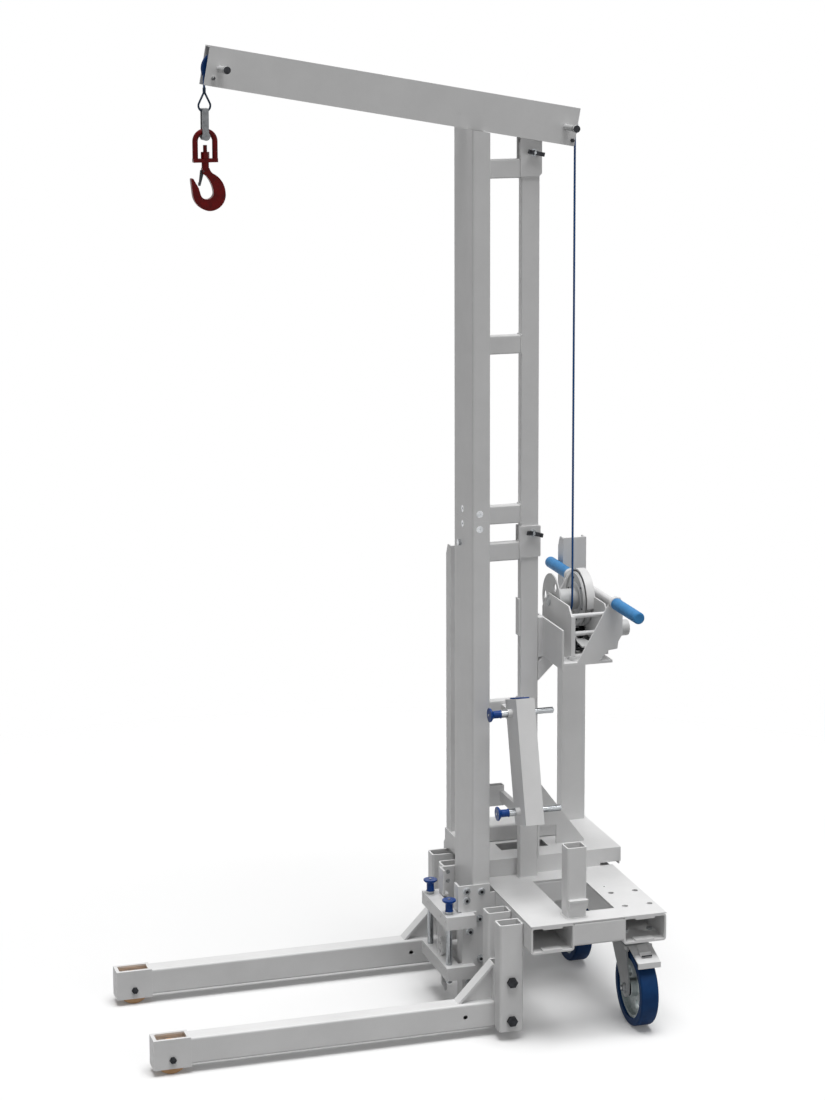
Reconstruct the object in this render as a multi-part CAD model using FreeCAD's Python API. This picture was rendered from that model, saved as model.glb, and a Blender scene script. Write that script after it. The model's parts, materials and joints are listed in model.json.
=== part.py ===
import FreeCAD, Part
import os
from math import asin, atan2, cos, degrees, pi, radians, sin, sqrt

Vector = FreeCAD.Vector

# Material lift with a hand winch: a wheeled base frame, two legs with rollers, a two-part ladder mast
# and a boom that carries the rope over two sheaves to a hook. Millimetres, +Z up.
# X runs from the leg tips (-X) to the winch side (+X). X = 0 is the front face of the leg uprights.
# Y = 0 is the middle plane of the mast, -Y is the side with the lower deck. Z = 0 is the floor.

# Corner radius of the rectangular tubes, as a multiple of their wall
corner_ratio = 1.6

# Base frame
base_bottom = 247.0
pocket_height = 72.0
pocket_width = 117.0
pocket_wall = 5.0
base_length = 369.0
base_half_width = 376.0
cross_width = 71.0
cross_height = 62.0
cross_wall = 4.0
centre_cross_half_width = 47.0
deck_sheet = 3.0
lower_deck_far_edge = 20.0
access_hole_radius = 8.0
small_deck_hole_radius = 3.0
lip_width = 52.0
lip_depth = 25.0
lip_thickness = 4.0

# Upper deck, a folded tray on the far half of the base
tray_front = 52.5
tray_rear = 458.0
tray_far_edge = 325.0
tray_height = 50.0
tray_sheet = 4.0
tray_tail_length = 59.0
tray_tail_lift = 10.0
tray_slot_front = 140.0
tray_slot_length = 134.0
tray_slot_near_edge = 90.0
tray_slot_width = 58.0

# Cross tube and gusset on the upper deck
rail_front = 62.0
rail_rear = 324.0
rail_near_edge = 163.0
rail_width = 80.0
rail_height = 46.0
rail_wall = 4.0
gusset_sheet = 6.0
gusset_near_edge = 100.0
gusset_rise = 228.0
gusset_rear = 380.0
gusset_notch_height = 52.0
gusset_notch_rear = 300.0
gusset_tip_height = 6.0

# Rack channels on the far edge of the upper deck
channel_width = 68.0
channel_depth = 42.0
channel_sheet = 5.0
channel_height = 806.0
channel_chamfer = 30.0
left_channel_x = 57.0
right_channel_x = 381.0

# Leg uprights and legs
upright_depth = 65.0
upright_width = 47.0
upright_wall = 5.0
upright_bottom = 25.0
upright_top = 311.0
upright_inner_edge = 173.0
leg_width = 51.0
leg_height = 70.0
leg_wall = 4.0
leg_bottom = 23.0
leg_tip_x = -892.0
tip_length = 95.0
tip_width = 55.0
tip_height = 77.0
tip_bottom = 17.5
tip_wall = 5.0
tip_window_margin = 9.0
leg_post_top = 190.0
leg_gusset_length = 87.0
leg_gusset_height = 90.0
leg_gusset_sheet = 8.0
leg_flat_width = 36.0
leg_flat_thickness = 6.0
leg_hole_x = -77.0
leg_hole_radius = 6.0
leg_bolt_x = 33.0
leg_bolt_heights = (54.0, 158.0)
leg_bolt_radius = 8.0
leg_bolt_head_radius = 14.0
leg_bolt_head_height = 10.0

# Leg rollers
roller_radius = 41.0
roller_edge_radius = 4.0
roller_width = 38.0
roller_setback = 48.0
roller_x = leg_tip_x + roller_setback
roller_bore_radius = 8.05
roller_axle_radius = 8.0
roller_head_radius = 9.0
roller_head_height = 6.0

# Casters
caster_x = 383.0
caster_y = 247.0
caster_trail = 55.0
caster_plate_length = 135.0
caster_plate_width = 110.0
caster_plate_thickness = 6.0
caster_bolt_spacing_y = 105.0
caster_bolt_spacing_x = 68.0
caster_bolt_radius = 5.0
caster_bolt_head_radius = 8.5
caster_bolt_head_height = 6.0
wheel_radius = 100.0
wheel_width = 48.0
tyre_thickness = 20.0
tyre_shoulder = 6.0
rim_width = 36.0
rim_web = 9.0
rim_shell = 7.0
wheel_hub_radius = 24.0
wheel_bore_radius = 8.05
wheel_axle_radius = 8.0
rim_window_count = 5
rim_window_radius = 13.0
fork_sheet = 5.0
fork_clearance = 5.0
fork_crown_gap = 9.0
fork_trail_end = 58.0
fork_lead_end = 40.0
fork_skirt = 16.0
fork_foot_radius = 24.0
fork_heel_depth = 22.0
fork_heel_rise = 40.0
axle_thread = 8.0
axle_nut_radius = 13.0
axle_nut_height = 6.0
hub_spacer_wall = 4.0
ear_margin = 8.0
ear_drop = 6.0
swivel_radius = 40.0
kingpin_radius = 9.0
kingpin_running_gap = 0.05
bearing_gap = 0.3
pedal_width = 62.0
pedal_thickness = 4.0
pedal_pivot_radius = 5.0
pedal_pivot_y = 62.0
pedal_pivot_height = 211.0
pedal_length = 82.0
pedal_slope = 17.0
pedal_bar_end = 3.0
pedal_tongue_depth = 12.0
pedal_tongue_drop = 2.0
pedal_heel = 10.0
pedal_lip_height = 15.0
pedal_pad_inset = 22.0
pedal_pad_height = 9.0
pedal_pad_half_width = 13.0

# Mast
mast_x = 3.0
mast_width = 49.0
mast_half_depth = 79.5
mast_wall = 4.0
mast_bottom = 60.0
mast_joint_z = 1317.0
spigot_length = 180.0
spigot_wall = 5.0
rear_tube_x = 157.0
rear_tube_width = 50.0
rear_tube_half_depth = 12.5
rear_tube_wall = 2.5
rear_joint_z = 1245.0
rung_height = 49.0
upper_rung_tops = (2246.0, 1790.0, 1341.0)
lower_rung_tops = (1242.0, 817.0)
foot_rung_top = 584.0
foot_rung_height = 55.0
foot_rung_length = 62.0
bracket_sheet = 4.0
bracket_overhang = 4.0
joint_bracket_bottom = 1200.0
joint_bracket_top = 1283.0
boom_bracket_bottom = 2201.0
boom_bracket_chamfer = 8.0
wing_bolt_inset = 18.0
joint_wing_height = 1264.0
boom_wing_height = 2262.0
wing_bolt_radius = 4.0
wing_bolt_gap = 0.05
wing_hub_radius = 7.0
wing_hub_height = 11.0
wing_span = 46.0
wing_height = 12.0
wing_root = 3.0
wing_rise = 4.0
wing_tip_depth = 6.0
wing_rest_angle = 12.0
slip_gap = 0.2
joint_bolt_x = 23.0
joint_bolt_pitch = 40.0
joint_bolt_radius = 5.0
joint_bolt_head_radius = 9.0
joint_bolt_head_height = 5.0
front_hex_height = 1244.0
front_hex_y = 22.0

# Mast shoe
shoe_sheet = 6.0
shoe_front = -29.0
shoe_step = 273.0
shoe_step_depth = 9.0
shoe_fold_width = 38.0
shoe_rear = 50.0
shoe_bottom = 28.0
shoe_top = 343.0
shoe_bolt_radius = 6.0
shoe_bolt_head_radius = 8.5
shoe_bolt_head_height = 6.0
shoe_bolt_places = ((-15.0, 328.0), (26.0, 324.0), (-15.0, 303.0), (20.5, 250.0), (24.0, 140.0))
side_bolt_places = ((-8.0, 219.0), (-11.0, 79.0))

# Front yoke with its two lock pins
yoke_front = -78.0
yoke_bar_depth = 40.0
yoke_half_width = 113.0
yoke_arm_rear = 1.0
yoke_thickness = 35.0
yoke_lower_z = 97.0
yoke_upper_z = 236.0
yoke_pin_x = -63.0
yoke_pin_y = 84.5
yoke_hole_radius = 3.0
yoke_hole_depth = 8.0
yoke_hole_rise = 21.0
yoke_hole_inset = 11.0
yoke_inner_hole_inset = 55.0
catch_y = -64.0
catch_sheet = 6.0
catch_width = 15.0
catch_drop = 44.0
catch_shoulder = 22.0
catch_tip_shift = 10.0
catch_tip_rise = 2.0
yoke_pin_tip = 14.0
yoke_side_rear = 11.0
yoke_side_front = -29.0
yoke_side_bottom = 62.0
yoke_side_sheet = 6.0
boss_y = 0.0
boss_z = 153.0
boss_radius = 24.0
boss_bolt_radius = 8.0
boss_thickness = 12.0
boss_setback = 15.0
boss_recess = 4.0
boss_rim = 8.0
boss_collar_radius = 13.0

# Lock pins: steel shank, stop collar, mushroom knob and a release button in its head
pin_radius = 8.0
pin_running_gap = 0.05
pin_collar_radius = 10.0
yoke_collar_length = 8.0
rack_collar_length = 18.0
knob_radius = 18.5
knob_waist_radius = 10.0
knob_foot_radius = 11.5
knob_length = 32.0
knob_rim_length = 4.0
knob_flare_length = 7.0
button_radius = 3.5
button_depth = 14.0
button_length = 13.0
button_travel = 2.5

# Pin rack: a leaning tube beside the ladder
rack_lean = 15.0
rack_x = 97.0
rack_width = 50.0
rack_depth = 92.0
rack_length = 326.0
rack_wall = 4.0
rack_pin_y = -121.0
rack_pin_z = 812.0
rack_pin_pitch = 254.5
rack_pin_above = 36.0
rack_pin_reach = 63.0
rack_boss_radius = 11.0
rack_boss_length = 12.0
rack_bar_height = 28.0
rack_bar_inset = 8.0
rack_foot_bar_start = 4.0
rack_foot_bar_end = 16.0
spare_pin_spacing = 46.0
spare_pin_length = 90.0
rack_plug_thickness = 12.0
rack_plug_depth = 37.0

# Stub socket on the lower deck
stub_x = 172.0
stub_width = 54.0
stub_near_edge = -346.0
stub_depth = 47.0
stub_height = 187.0
stub_wall = 4.0
stub_ledge_height = 50.0
stub_ledge_reach = 12.0

# Boom
boom_angle = 10.15
boom_length = 985.0
boom_height = 99.0
boom_half_width = 27.0
boom_wall = 4.0
boom_front_x = -675.0
boom_front_z = 2449.5
boom_mouth_length = 96.0

# Sheaves and rope
rope_radius = 3.0
rope_gap = 0.3
sheave_groove_radius = 30.7
sheave_rim_radius = 40.5
sheave_width = 16.0
sheave_lip = 2.0
sheave_bore_radius = 8.05
sheave_axle_radius = 8.0
front_axle_x = -634.5
rear_axle_x = 272.4
sheave_axle_from_edge = 46.0
axle_reach = 82.0
axle_cap_length = 10.0
axle_cap_step = 1.5
spacer_step = 5.0
axle_far_reach = 16.0
axle_head_step = 6.0
cheek_bolt_radius = 3.0
cheek_bolt_drop = 23.0
cheek_bolt_shift = 17.0
cheek_bolt_rear_step = 12.0
cheek_bolt_reach = 12.0
cheek_bolt_length = 24.0
cheek_nut_height = 5.0
cheek_nut_step = 2.5

# Winch
drum_y = 31.0
drum_z = 1067.0
drum_left_x = 258.0
drum_flange_radius = 72.0
drum_flange_sheet = 4.0
drum_length = 72.0
drum_window_radius = 11.0
gear_radius = 72.0
gear_width = 14.0
gear_tooth_count = 60
pinion_tooth_count = 15
shaft_radius = 9.0
shaft_running_gap = 0.05
cheek_sheet = 4.0
cheek_gap = 3.0
cheek_near_edge = -148.0
cheek_far_edge = 82.0
cheek_top = 1087.0
cheek_lip = 11.0
cheek_foot_gap = 12.0
cheek_foot_start = 30.0
cheek_toe = 18.0
cheek_crest = 5.0
cheek_far_slope = 46.0
gear_cover_skirt = 12.0
spacer_radius = 6.0
spacer_y = -138.0
spacer_heights = (1063.0, 1016.0)
gear_cover_gap = 2.5
drive_hub_radius = 21.5
drive_hub_length = 30.0
drive_hub_end = 476.0
pawl_sheet = 6.0
pawl_reach = 58.0
pawl_drop = 12.0
pawl_pivot_radius = 4.0

# Winch console and push bar
console_x = 220.0
console_rear = 387.0
console_sheet = 5.0
console_half_width = 165.0
console_shelf_z = 945.0
console_shelf_sheet = 7.0
console_shelf_rear = 360.0
console_front_top = 1034.0
console_front_bottom = 927.0
console_back_bottom = 974.0
console_back_top = 1075.0
console_side_foot = 262.0
console_side_top = 1115.0
console_strut_height = 83.0
console_strut_end_height = 52.0
push_bar_x = 364.0
push_bar_z = 1097.0
push_bar_radius = 9.0
push_bar_half_length = 343.0
grip_radius = 15.5
collar_length = 14.0
collar_radius = 17.5
clamp_sheet = 5.0
clamp_bottom = 988.0
clamp_top = 1088.0

# Hook train, measured down from the end of the rope
eye_drop = 47.0
eye_length = 62.0
eye_half_width = 17.5
eye_rope_radius = 2.5
ferrule_length = 12.0
shackle_half_width = 8.0
shackle_half_gap = 8.0
shackle_sheet = 5.0
shackle_bridge = 6.0
shackle_pin_drop = 69.0
shackle_foot = 9.0
shackle_pin_radius = 5.0
shackle_head_radius = 10.5
shackle_head_height = 4.0
bail_half_width = 32.0
bail_section_radius = 7.0
bail_height = 84.0
bail_plate_height = 9.5
bail_plate_half_depth = 9.0
stud_radius = 5.0
stud_height = 33.0
nut_radius = 11.0
nut_height = 16.0
neck_radius = 9.2
neck_length = 16.0
hook_thickness = 17.0
latch_sheet = 4.0
latch_pin_radius = 2.0
latch_length = 36.0

# Derived places that several pieces share
deck_top = base_bottom + pocket_height + deck_sheet
base_front = upright_depth
base_rear = base_front + base_length
rear_pocket_x = base_rear - pocket_width
front_pocket_rear = base_front + pocket_width
tray_bottom = base_bottom + pocket_height
tray_top = tray_bottom + tray_height
leg_inner_y = upright_inner_edge + upright_width
leg_outer_y = leg_inner_y + leg_width
leg_mid_y = (leg_inner_y + leg_outer_y) / 2
uprights_outer_y = leg_outer_y + upright_width
mast_rear_x = mast_x + mast_width
rear_tube_end_x = rear_tube_x + rear_tube_width
axle_z = wheel_radius
gear_module = 2 * gear_radius / gear_tooth_count
pinion_radius = gear_module * pinion_tooth_count / 2
drive_z = drum_z - gear_radius - pinion_radius
drum_right_x = drum_left_x + drum_length
gear_x = drum_right_x + cheek_gap
right_cheek_x = gear_x + gear_width + cheek_gap
rope_line_radius = sheave_groove_radius + rope_radius + rope_gap
drum_hub_radius = drum_y - rope_radius - rope_gap
grip_length = push_bar_half_length - console_half_width - collar_length

# The frame's origin is the middle of the part's footprint, on the floor
footprint_front = leg_tip_x
footprint_rear = drive_hub_end
footprint_near = -(caster_y + caster_trail + wheel_radius)
footprint_far = base_half_width
origin = Vector((footprint_front + footprint_rear) / 2, (footprint_near + footprint_far) / 2, 0)


def box(x0, x1, y0, y1, z0, z1):
    return Part.makeBox(x1 - x0, y1 - y0, z1 - z0, Vector(x0, y0, z0))


def tube_along(axis, x0, x1, y0, y1, z0, z1, wall):
    """Rectangular tube, open at both ends of its axis, with rounded corners."""
    outer = box(x0, x1, y0, y1, z0, z1)
    across = {"x": (0, wall, wall), "y": (wall, 0, wall), "z": (wall, wall, 0)}[axis]
    inner = box(x0 + across[0], x1 - across[0], y0 + across[1], y1 - across[1],
                z0 + across[2], z1 - across[2])
    direction = Vector(*[1 if part == axis else 0 for part in "xyz"])
    outer = rounded(outer, direction, corner_ratio * wall)
    inner = rounded(inner, direction, (corner_ratio - 1) * wall)
    return outer.cut(inner)


def rounded(solid, direction, radius):
    """Round the edges of a box that run along a direction."""
    along = []
    for edge in solid.Edges:
        span = edge.Vertexes[1].Point - edge.Vertexes[0].Point
        if abs(span.normalize() * direction) > 0.99:
            along.append(edge)
    return solid.makeFillet(radius, along)


def rod(axis, x, y, z, radius, length):
    """Round bar that starts at a point and runs along +X, +Y or +Z, or the other way if length < 0."""
    direction = {"x": Vector(1, 0, 0), "y": Vector(0, 1, 0), "z": Vector(0, 0, 1)}[axis]
    if length < 0:
        direction = -direction
    return Part.makeCylinder(radius, abs(length), Vector(x, y, z), direction)


def hexagon(axis, x, y, z, radius, length):
    """Hexagon bar along +X, +Y or +Z from a point, radius to its corners."""
    corners = []
    for i in range(7):
        u = radius * cos(radians(60 * i))
        v = radius * sin(radians(60 * i))
        offset = {"x": Vector(0, u, v), "y": Vector(u, 0, v), "z": Vector(u, v, 0)}[axis]
        corners.append(Vector(x, y, z) + offset)
    direction = {"x": Vector(length, 0, 0), "y": Vector(0, length, 0), "z": Vector(0, 0, length)}[axis]
    return Part.Face(Part.makePolygon(corners)).extrude(direction)


def plate_xz(outline, y0, y1):
    """Flat plate whose outline is given as (x, z) corners."""
    corners = [Vector(x, y0, z) for x, z in outline]
    return Part.Face(Part.makePolygon(corners + corners[:1])).extrude(Vector(0, y1 - y0, 0))


def plate_yz(outline, x0, x1):
    """Flat plate whose outline is given as (y, z) corners."""
    corners = [Vector(x0, y, z) for y, z in outline]
    return Part.Face(Part.makePolygon(corners + corners[:1])).extrude(Vector(x1 - x0, 0, 0))


def joined(shapes):
    solid = shapes[0]
    for shape in shapes[1:]:
        solid = solid.fuse(shape)
    return solid.removeSplitter()


def without(solid, tools):
    for tool in tools:
        solid = solid.cut(tool)
    return solid


def mirrored(shape):
    """The same piece on the other side of the mast's middle plane."""
    return shape.mirror(Vector(0, 0, 0), Vector(0, 1, 0))


def save(name, *shapes):
    """Write a node, moved so that the frame's origin is at zero."""
    solid = shapes[0] if len(shapes) == 1 else Part.makeCompound(list(shapes))
    solid = solid.copy()
    solid.translate(-origin)
    solid.exportStep("parts/" + name + ".step")


def caster_bolt_places(side):
    """Centres of one caster's four bolts, side is -1 for near and 1 for far."""
    half_x = caster_bolt_spacing_x / 2
    half_y = caster_bolt_spacing_y / 2
    return [(caster_x + i * half_x, side * caster_y + j * half_y) for i in (-1, 1) for j in (-1, 1)]


def base_frame():
    """Two fork pockets with their guide plates, and the three tubes between them."""
    top = base_bottom + pocket_height
    holes = []
    for side in (-1, 1):
        for x, y in caster_bolt_places(side):
            holes.append(rod("z", x, y, base_bottom - 1, caster_bolt_radius, pocket_wall + 2))
            holes.append(rod("z", x, y, top - pocket_wall - 1, access_hole_radius, pocket_wall + 2))
    pockets = []
    for x in (base_front, rear_pocket_x):
        tube = tube_along("y", x, x + pocket_width, -base_half_width, base_half_width,
                          base_bottom, top, pocket_wall)
        pockets.append(joined([without(tube, holes)] + pocket_lips(x)))
    crosses = []
    for y0, y1 in (
        (-base_half_width, -base_half_width + cross_width),
        (-centre_cross_half_width, centre_cross_half_width),
        (base_half_width - cross_width, base_half_width),
    ):
        crosses.append(tube_along("x", front_pocket_rear, rear_pocket_x, y0, y1,
                                  top - cross_height, top, cross_wall))
    return pockets + crosses


def lower_deck():
    sheet = box(base_front, base_rear, -base_half_width, lower_deck_far_edge, deck_top - deck_sheet, deck_top)
    window = box(front_pocket_rear, rear_pocket_x, -base_half_width + cross_width, -centre_cross_half_width,
                 deck_top - 2 * deck_sheet, deck_top + 1)
    holes = [window]
    for x, y in caster_bolt_places(-1):
        holes.append(rod("z", x, y, deck_top - 2 * deck_sheet, access_hole_radius, 3 * deck_sheet))
    holes.append(rod("z", caster_x - caster_bolt_spacing_x / 2, -caster_y + caster_bolt_spacing_y,
                     deck_top - 2 * deck_sheet, small_deck_hole_radius, 3 * deck_sheet))
    return without(sheet, holes)


def pocket_lips(pocket_x):
    """Small guide plates inside the two mouths of one fork pocket."""
    lips = []
    x0 = pocket_x + (pocket_width - lip_width) / 2
    for z in (base_bottom + pocket_wall, base_bottom + pocket_height - pocket_wall - lip_thickness):
        for y in (-base_half_width, base_half_width - lip_depth):
            lips.append(box(x0, x0 + lip_width, y, y + lip_depth, z, z + lip_thickness))
    return lips


def upper_deck():
    tray = box(tray_front, tray_rear, lower_deck_far_edge, tray_far_edge, tray_bottom, tray_top)
    hollow = box(tray_front + tray_sheet, tray_rear - tray_sheet, lower_deck_far_edge + tray_sheet,
                 tray_far_edge - tray_sheet, tray_bottom - 1, tray_top - tray_sheet)
    tail = box(tray_rear - tray_tail_length, tray_rear + 1, lower_deck_far_edge - 1,
               lower_deck_far_edge + 2 * tray_sheet, tray_bottom - 1, tray_bottom + tray_tail_lift)
    slot = box(tray_slot_front, tray_slot_front + tray_slot_length, tray_slot_near_edge,
               tray_slot_near_edge + tray_slot_width, tray_top - 2 * tray_sheet, tray_top + 1)
    return without(tray, [hollow, tail, slot])


def deck_rail():
    return tube_along("x", rail_front, rail_rear, rail_near_edge, rail_near_edge + rail_width,
                      tray_top, tray_top + rail_height, rail_wall)


def rear_gusset():
    """Triangular web with a back plate that stands on the upper deck behind the rear tube."""
    front = rear_tube_end_x
    y0 = gusset_near_edge
    y1 = y0 + gusset_sheet
    web = plate_xz([
        (front, tray_top), (front, tray_top + gusset_rise), (front + gusset_sheet, tray_top + gusset_rise),
        (gusset_rear, tray_top + gusset_tip_height), (gusset_rear, tray_top), (gusset_notch_rear, tray_top),
        (gusset_notch_rear, tray_top + gusset_notch_height),
        (front + 4 * gusset_sheet, tray_top + gusset_notch_height), (front + 4 * gusset_sheet, tray_top),
    ], y0, y1)
    back = box(front, front + gusset_sheet, -rear_tube_half_depth + slip_gap, y0,
               tray_top, tray_top + gusset_rise)
    floor_cut = box(front - 1, front + gusset_sheet + 1, -base_half_width, lower_deck_far_edge,
                    deck_top - 1, tray_top + 1)
    return joined([web, back]).cut(floor_cut)


def rack_channel(x0):
    """Upright channel with its back to the mast and chamfered flange tops."""
    y1 = tray_far_edge
    y0 = y1 - channel_depth
    z0 = tray_top
    z1 = z0 + channel_height
    body = box(x0, x0 + channel_width, y0, y1, z0, z1)
    hollow = box(x0 + channel_sheet, x0 + channel_width - channel_sheet, y0 + channel_sheet, y1 + 1,
                 z0 - 1, z1 + 1)
    corner = plate_yz([(y1 - channel_chamfer / 2, z1 + 1), (y1 + 1, z1 + 1), (y1 + 1, z1 - channel_chamfer)],
                      x0 - 1, x0 + channel_width + 1)
    return without(body, [hollow, corner])


def upright(y0):
    post = tube_along("z", 0, upright_depth, y0, y0 + upright_width,
                      upright_bottom, upright_top, upright_wall)
    holes = [rod("y", leg_bolt_x, y0 - 1, z, leg_bolt_radius, upright_width + 2) for z in leg_bolt_heights]
    return without(post, holes)


def leg():
    """Far leg: tube, roller housing, post between the uprights and gusset with its flat bar."""
    y0 = leg_inner_y
    y1 = leg_outer_y
    housing_rear = leg_tip_x + tip_length
    tube = tube_along("x", housing_rear, upright_depth, y0, y1, leg_bottom, leg_bottom + leg_height, leg_wall)
    end_cap = box(upright_depth - leg_wall, upright_depth, y0, y1, leg_bottom, leg_bottom + leg_height)
    post = tube_along("z", 0, upright_depth, y0, y1, leg_bottom + leg_height, leg_post_top, leg_wall)
    tip_y0 = leg_mid_y - tip_width / 2
    tip_y1 = leg_mid_y + tip_width / 2
    tip_top = tip_bottom + tip_height
    housing = box(leg_tip_x, housing_rear, tip_y0, tip_y1, tip_bottom, tip_top)
    inside = box(leg_tip_x + tip_wall, housing_rear - tip_wall, tip_y0 + tip_wall, tip_y1 - tip_wall,
                 tip_bottom - 1, tip_top - tip_wall)
    window = box(leg_tip_x + tip_window_margin, housing_rear - tip_window_margin,
                 tip_y0 + tip_window_margin, tip_y1 - tip_window_margin, tip_bottom, tip_top + 1)
    axle_hole = rod("y", roller_x, tip_y0 - 1, roller_radius, roller_axle_radius, tip_width + 2)
    z0 = leg_bottom + leg_height
    web = plate_xz([(-leg_gusset_length, z0), (0, z0), (0, z0 + leg_gusset_height)],
                   leg_mid_y - leg_gusset_sheet / 2, leg_mid_y + leg_gusset_sheet / 2)
    slope = atan2(leg_gusset_height, leg_gusset_length)
    run = leg_flat_thickness * sin(slope)
    rise = leg_flat_thickness * cos(slope)
    flat = plate_xz([
        (-leg_gusset_length - run / sin(slope) ** 2, z0), (-leg_gusset_length, z0),
        (0, z0 + leg_gusset_height), (0, z0 + leg_gusset_height + rise / cos(slope) ** 2),
    ], leg_mid_y - leg_flat_width / 2, leg_mid_y + leg_flat_width / 2)
    holes = [inside, window, axle_hole,
             rod("y", leg_hole_x, y0 - 1, leg_bottom + leg_height / 2, leg_hole_radius, leg_width + 2)]
    for z in leg_bolt_heights:
        holes.append(rod("y", leg_bolt_x, y0 - 1, z, leg_bolt_radius, leg_width + 2))
    body = joined([tube, end_cap, post, housing, web, flat])
    return without(body, holes)


def leg_bolts():
    """Through bolts that clamp the far leg between its two uprights."""
    bolts = []
    grip = uprights_outer_y - upright_inner_edge
    for z in leg_bolt_heights:
        shank = rod("y", leg_bolt_x, upright_inner_edge, z, leg_bolt_radius, grip)
        head = hexagon("y", leg_bolt_x, uprights_outer_y, z, leg_bolt_head_radius, leg_bolt_head_height)
        nut = hexagon("y", leg_bolt_x, upright_inner_edge, z, leg_bolt_head_radius, -leg_bolt_head_height)
        bolts.extend([shank, head, nut])
    return bolts


def leg_roller():
    wheel = rod("y", roller_x, leg_mid_y - roller_width / 2, roller_radius, roller_radius, roller_width)
    rim_length = 2 * pi * roller_radius
    rims = [edge for edge in wheel.Edges if abs(edge.Length - rim_length) < 1]
    wheel = wheel.makeFillet(roller_edge_radius, rims)
    bore = rod("y", roller_x, leg_mid_y - roller_width, roller_radius, roller_bore_radius, 2 * roller_width)
    return wheel.cut(bore)


def leg_axle():
    start = leg_mid_y - tip_width / 2
    axle = rod("y", roller_x, start, roller_radius, roller_axle_radius, tip_width)
    head = hexagon("y", roller_x, start + tip_width, roller_radius, roller_head_radius, roller_head_height)
    nut = hexagon("y", roller_x, start, roller_radius, roller_head_radius, -roller_head_height)
    return joined([axle, head, nut])


def caster_plate(side):
    """Bolted plate with the kingpin that the fork turns on, and its four bolts."""
    y = side * caster_y
    z1 = base_bottom
    z0 = z1 - caster_plate_thickness
    plate = box(caster_x - caster_plate_width / 2, caster_x + caster_plate_width / 2,
                y - caster_plate_length / 2, y + caster_plate_length / 2, z0, z1)
    crown_z = fork_crown_bottom()
    kingpin = rod("z", caster_x, y, crown_z - 3, kingpin_radius, z0 - crown_z + 3)
    solid = joined([plate, kingpin])
    bolts = []
    for bx, by in caster_bolt_places(side):
        shank = rod("z", bx, by, z0, caster_bolt_radius, caster_plate_thickness + pocket_wall)
        head = hexagon("z", bx, by, z1 + pocket_wall, caster_bolt_head_radius, caster_bolt_head_height)
        nut = hexagon("z", bx, by, z0, caster_bolt_head_radius, -caster_bolt_head_height)
        bolts.append(joined([shank, head, nut]))
        solid = solid.cut(rod("z", bx, by, z0 - 1, caster_bolt_radius, caster_plate_thickness + 2))
    return solid, bolts


def fork_crown_bottom():
    return 2 * wheel_radius + fork_crown_gap


def caster_fork(side):
    """Swivel head, crown and two legs that trail towards -Y, with the wheel axle."""
    y = side * caster_y
    axle_y = y - caster_trail
    crown_z = fork_crown_bottom()
    inner = wheel_width / 2 + fork_clearance
    outer = inner + fork_sheet
    crown = box(caster_x - outer, caster_x + outer, y - fork_trail_end, y + fork_lead_end,
                crown_z, crown_z + fork_sheet)
    head_top = base_bottom - caster_plate_thickness - bearing_gap
    head = rod("z", caster_x, y, crown_z + fork_sheet, swivel_radius, head_top - crown_z - fork_sheet)
    legs = []
    for x in (caster_x - outer, caster_x + inner):
        outline = [(y - fork_trail_end, crown_z + fork_sheet), (y + fork_lead_end, crown_z + fork_sheet),
                   (y + fork_lead_end, crown_z - fork_skirt), (axle_y + fork_foot_radius, axle_z),
                   (axle_y - fork_foot_radius, axle_z), (axle_y - fork_heel_depth, axle_z + fork_heel_rise)]
        legs.append(plate_yz(outline, x, x + fork_sheet))
        legs.append(rod("x", x, axle_y, axle_z, fork_foot_radius, fork_sheet))
    axle = rod("x", caster_x - outer - axle_thread, axle_y, axle_z, wheel_axle_radius,
               2 * (outer + axle_thread))
    hub_spacers = []
    for x in (caster_x - inner, caster_x + wheel_width / 2 + bearing_gap):
        hub_spacers.append(rod("x", x, axle_y, axle_z, wheel_axle_radius + hub_spacer_wall,
                               fork_clearance - bearing_gap))
    nuts = []
    for x in (caster_x - outer - axle_nut_height, caster_x + outer):
        nuts.append(hexagon("x", x, axle_y, axle_z, axle_nut_radius, axle_nut_height))
    fork = joined([crown, head] + legs + hub_spacers + nuts + [axle])
    kingpin_hole = rod("z", caster_x, y, crown_z - 1, kingpin_radius + kingpin_running_gap,
                       head_top - crown_z + 2)
    ears = []
    for x in (caster_x - outer, caster_x + inner):
        ears.append(box(x, x + fork_sheet, y - pedal_pivot_y - ear_margin, y - swivel_radius,
                        crown_z - ear_drop, crown_z + fork_sheet))
    fork = joined([fork] + ears)
    pivot_hole = rod("x", caster_x - outer - 1, y - pedal_pivot_y, pedal_pivot_height,
                     pedal_pivot_radius + kingpin_running_gap, 2 * outer + 2)
    return without(fork, [kingpin_hole, pivot_hole])


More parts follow.
